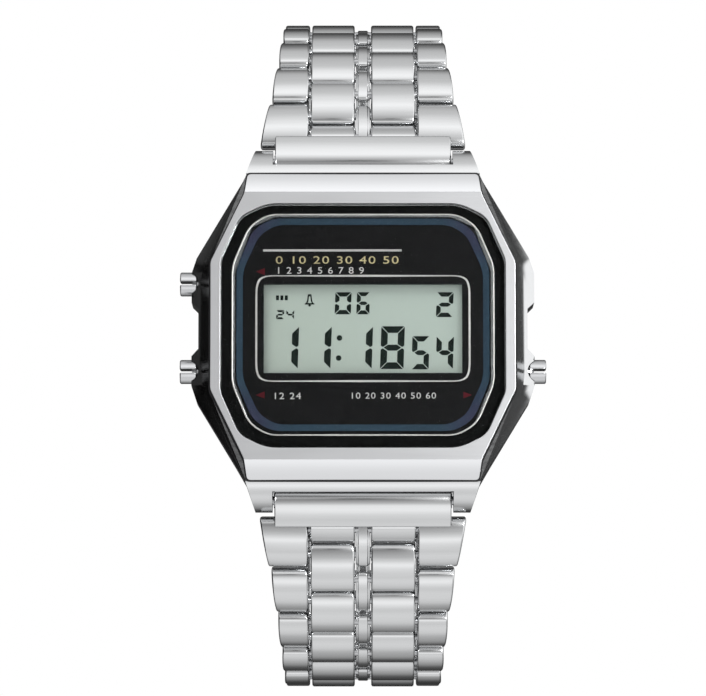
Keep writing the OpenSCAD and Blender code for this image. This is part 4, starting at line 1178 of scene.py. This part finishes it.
class WATCH_OT_stage(Operator):
    """Sets the floor, the studio and the camera"""

    bl_idname = "watch.make_stage"
    bl_label = "Stage"

    def execute(self, context):
        self.floor(context)
        self.studio(context)
        self.camera(context)
        return {"FINISHED"}

    def floor(self, context):
        """A pale round table top that the bracelet rests on. It fades out towards its
        rim, and from below it is clear, because the camera stands a little lower."""
        bottom = min(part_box(f"link_6_{k:02d}")[0].z for k in range(1, LINK_COUNT + 1))
        count = 96
        rows = 30
        rings = np.linspace(0.002, 0.42, rows)
        angle = np.linspace(0, 2 * math.pi, count, endpoint=False)
        points = np.stack([np.outer(rings, np.cos(angle)), np.outer(rings, np.sin(angle)),
                           np.full((rows, count), bottom)], -1).reshape(-1, 3)
        mesh = bpy.data.meshes.new("table_top")
        faces = grid_faces(rows, count, caps=False) + [list(range(count))]
        mesh.from_pydata(points.tolist(), [], faces)
        with edited(mesh) as work:
            bmesh.ops.recalc_face_normals(work, faces=work.faces)
            if sum(face.normal.z for face in work.faces) < 0:
                bmesh.ops.reverse_faces(work, faces=work.faces)
        table = bpy.data.objects.new("table_top", mesh)
        context.scene.collection.objects.link(table)
        table.visible_glossy = False
        material, tree, shader, place = blank("pale_table_card")
        feed(tree, shader, {"Base Color": rgba(linear("#f2f2f2")), "Roughness": 0.9})
        reach = add(tree, "VectorMath", {"operation": "LENGTH", 0: place}, "Value")
        fade = spread(tree, reach, (0.09, 0.36), kind="SMOOTHSTEP")
        behind = add(tree, "NewGeometry", out="Backfacing")
        see_through(tree, shader, maths(tree, "MAXIMUM", fade, behind))
        mesh.materials.append(material)

    def studio(self, context):
        """The studio round the watch. It is white wherever the camera looks past the
        watch. Polished metal sees the same white broken by the studio's dark parts: the
        gap between the upper and the lower soft box, the dark room behind them and a flag
        on the left."""
        world = bpy.data.worlds.new("studio")
        context.scene.world = world
        world.use_nodes = True
        tree = world.node_tree
        tree.nodes.clear()
        way = add(tree, "TexCoord", out="Generated")
        x, y, z = add(tree, "SeparateXYZ", {0: way}).node.outputs[:3]
        roll = maths(tree, "ARCTAN2", z, maths(tree, "MULTIPLY", y, -1.0))
        ramp = add(tree, "ValToRGB", {0: spread(tree, roll, (-math.pi, math.pi))})
        # Brightness by height: degrees up or down from the camera's side, and the level.
        stops = ((-160, 0.04), (-142, 0.1), (-128, 0.36), (-118, 0.5), (-110, 0.63),
                 (-100, 0.85), (-90, 0.98), (-79, 1.05), (-72, 1.0), (-66, 0.94),
                 (-60, 0.95), (-54, 1.04), (-48, 1.22), (-42, 1.42), (-35, 1.22),
                 (-20, 0.7), (-10, 0.54), (0, 0.32), (10, 0.56), (20, 0.75), (35, 1.2),
                 (50, 1.5), (65, 1.27), (75, 0.98), (85, 0.86), (95, 0.81), (104, 0.72),
                 (112, 0.58), (120, 0.42), (132, 0.14), (150, 0.04))
        elements = ramp.node.color_ramp.elements
        while len(elements) < len(stops):
            elements.new(0.5)
        for element, (degrees, level) in zip(elements, stops):
            element.position = (degrees + 180) / 360
            element.color = (level / 2, level / 2, level / 2, 1)
        doubled = times(tree, ramp, (2, 2, 2, 1))
        # A white wall on the right ends just behind the watch and fades to the floor.
        # It reaches further back high up and low down than at the watch's height.
        beyond = maths(tree, "MULTIPLY_ADD", maths(tree, "ABSOLUTE", z), -0.8, y)
        wall = maths(tree, "MULTIPLY", spread(tree, beyond, (0.1, 0.24), (1.4, 0.08)),
                     spread(tree, z, (-0.6, -0.25), (0.3, 1.0)))
        walled = mix(tree, spread(tree, x, (0.5, 0.7)), doubled, wall)
        shaded = times(tree, walled, spread(tree, x, (-0.8, -0.6), (0.03, 1.0)))
        # The camera's own dark shade, which the flat crystal mirrors.
        crystal_mirrors = (0.0, -0.9936, 0.113)
        aim = add(tree, "VectorMath", {"operation": "DISTANCE", 0: way, 1: crystal_mirrors},
                  "Value")
        hooded = times(tree, shaded, spread(tree, aim, (0.05, 0.085), (0.02, 1.0)))
        path = add(tree, "LightPath").node.outputs
        mirrored = maths(tree, "MAXIMUM", path["Is Glossy Ray"], path["Is Transmission Ray"])
        room = mix(tree, mirrored, (0.82, 0.82, 0.82, 1), hooded)
        seen = mix(tree, path["Is Camera Ray"], room, (1, 1, 1, 1))
        light = add(tree, "Background", {"Strength": 1.0, "Color": seen})
        feed(tree, tree.nodes.new("ShaderNodeOutputWorld"), {"Surface": light})
        # A soft key above, and a small lamp on the right that the satin bezel catches.
        self.lamp(context, "key", 0.35, 1.6, (-0.25, -0.42, 0.5), False)
        self.lamp(context, "right_lamp", 0.12, 1.14, (0.2, -0.44, 0.04), True)

    def lamp(self, context, name, size, power, place, mirrored):
        """A round lamp aimed at the dial. It is either mirrored by the metal, or lights
        everything without being mirrored."""
        lamp = bpy.data.lights.new(name, "AREA")
        lamp.shape = "DISK"
        lamp.size = size
        lamp.energy = power
        piece = bpy.data.objects.new(name, lamp)
        piece.location = place
        piece.rotation_euler = Vector(place).to_track_quat("Z", "Y").to_euler()
        piece.visible_glossy = mirrored
        piece.visible_diffuse = not mirrored
        context.scene.collection.objects.link(piece)

    def camera(self, context):
        """The photograph's camera: 493 mm from the dial, 6.8 degrees below its axis."""
        # Focal length, the picture's width and its centre's shift, in pixels.
        focal, width, right, up = 4979, 706, 10.0, 22.9
        lens = bpy.data.cameras.new("camera")
        lens.sensor_width = 36
        lens.lens = focal / width * 36
        lens.clip_start, lens.clip_end = 0.01, 10
        camera = bpy.data.objects.new("camera", lens)
        tilt = math.radians(6.8)
        away = 493 * MM
        camera.location = (0, FRONT_Y * MM - away * math.cos(tilt), -away * math.sin(tilt))
        camera.rotation_euler = (math.pi / 2 + tilt - up / focal, 0, right / focal)
        context.scene.collection.objects.link(camera)
        context.scene.camera = camera
        context.scene.view_settings.view_transform = "Standard"


class WATCH_PT_panel(Panel):
    """Lists the watch's operators, sizes and colours"""

    bl_idname = "WATCH_PT_panel"
    bl_label = "Digital watch"
    bl_space_type = "VIEW_3D"
    bl_region_type = "UI"
    bl_category = "Watch"

    def draw(self, context):
        for operator in OPERATORS:
            self.layout.operator(operator.bl_idname)
        for group in (context.scene.watch_sizes, context.scene.watch_colours):
            box = self.layout.box()
            for name in group.__annotations__:
                box.prop(group, name)


OPERATORS = (WATCH_OT_links, WATCH_OT_end_links, WATCH_OT_clasp, WATCH_OT_bezel,
             WATCH_OT_case, WATCH_OT_buttons, WATCH_OT_crystal, WATCH_OT_dial,
             WATCH_OT_display, WATCH_OT_inner_parts, WATCH_OT_stage)
CLASSES = (WatchSizes, WatchColours, *OPERATORS, WATCH_PT_panel)


def register():
    for cls in CLASSES:
        bpy.utils.register_class(cls)
    bpy.types.Scene.watch_sizes = PointerProperty(type=WatchSizes)
    bpy.types.Scene.watch_colours = PointerProperty(type=WatchColours)


def unregister():
    del bpy.types.Scene.watch_colours
    del bpy.types.Scene.watch_sizes
    for cls in reversed(CLASSES):
        bpy.utils.unregister_class(cls)


def main():
    """Builds everything in order."""
    register()
    for operator in OPERATORS:
        group, name = operator.bl_idname.split(".")
        getattr(getattr(bpy.ops, group), name)()
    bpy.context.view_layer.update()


if __name__ == "__main__":
    main()
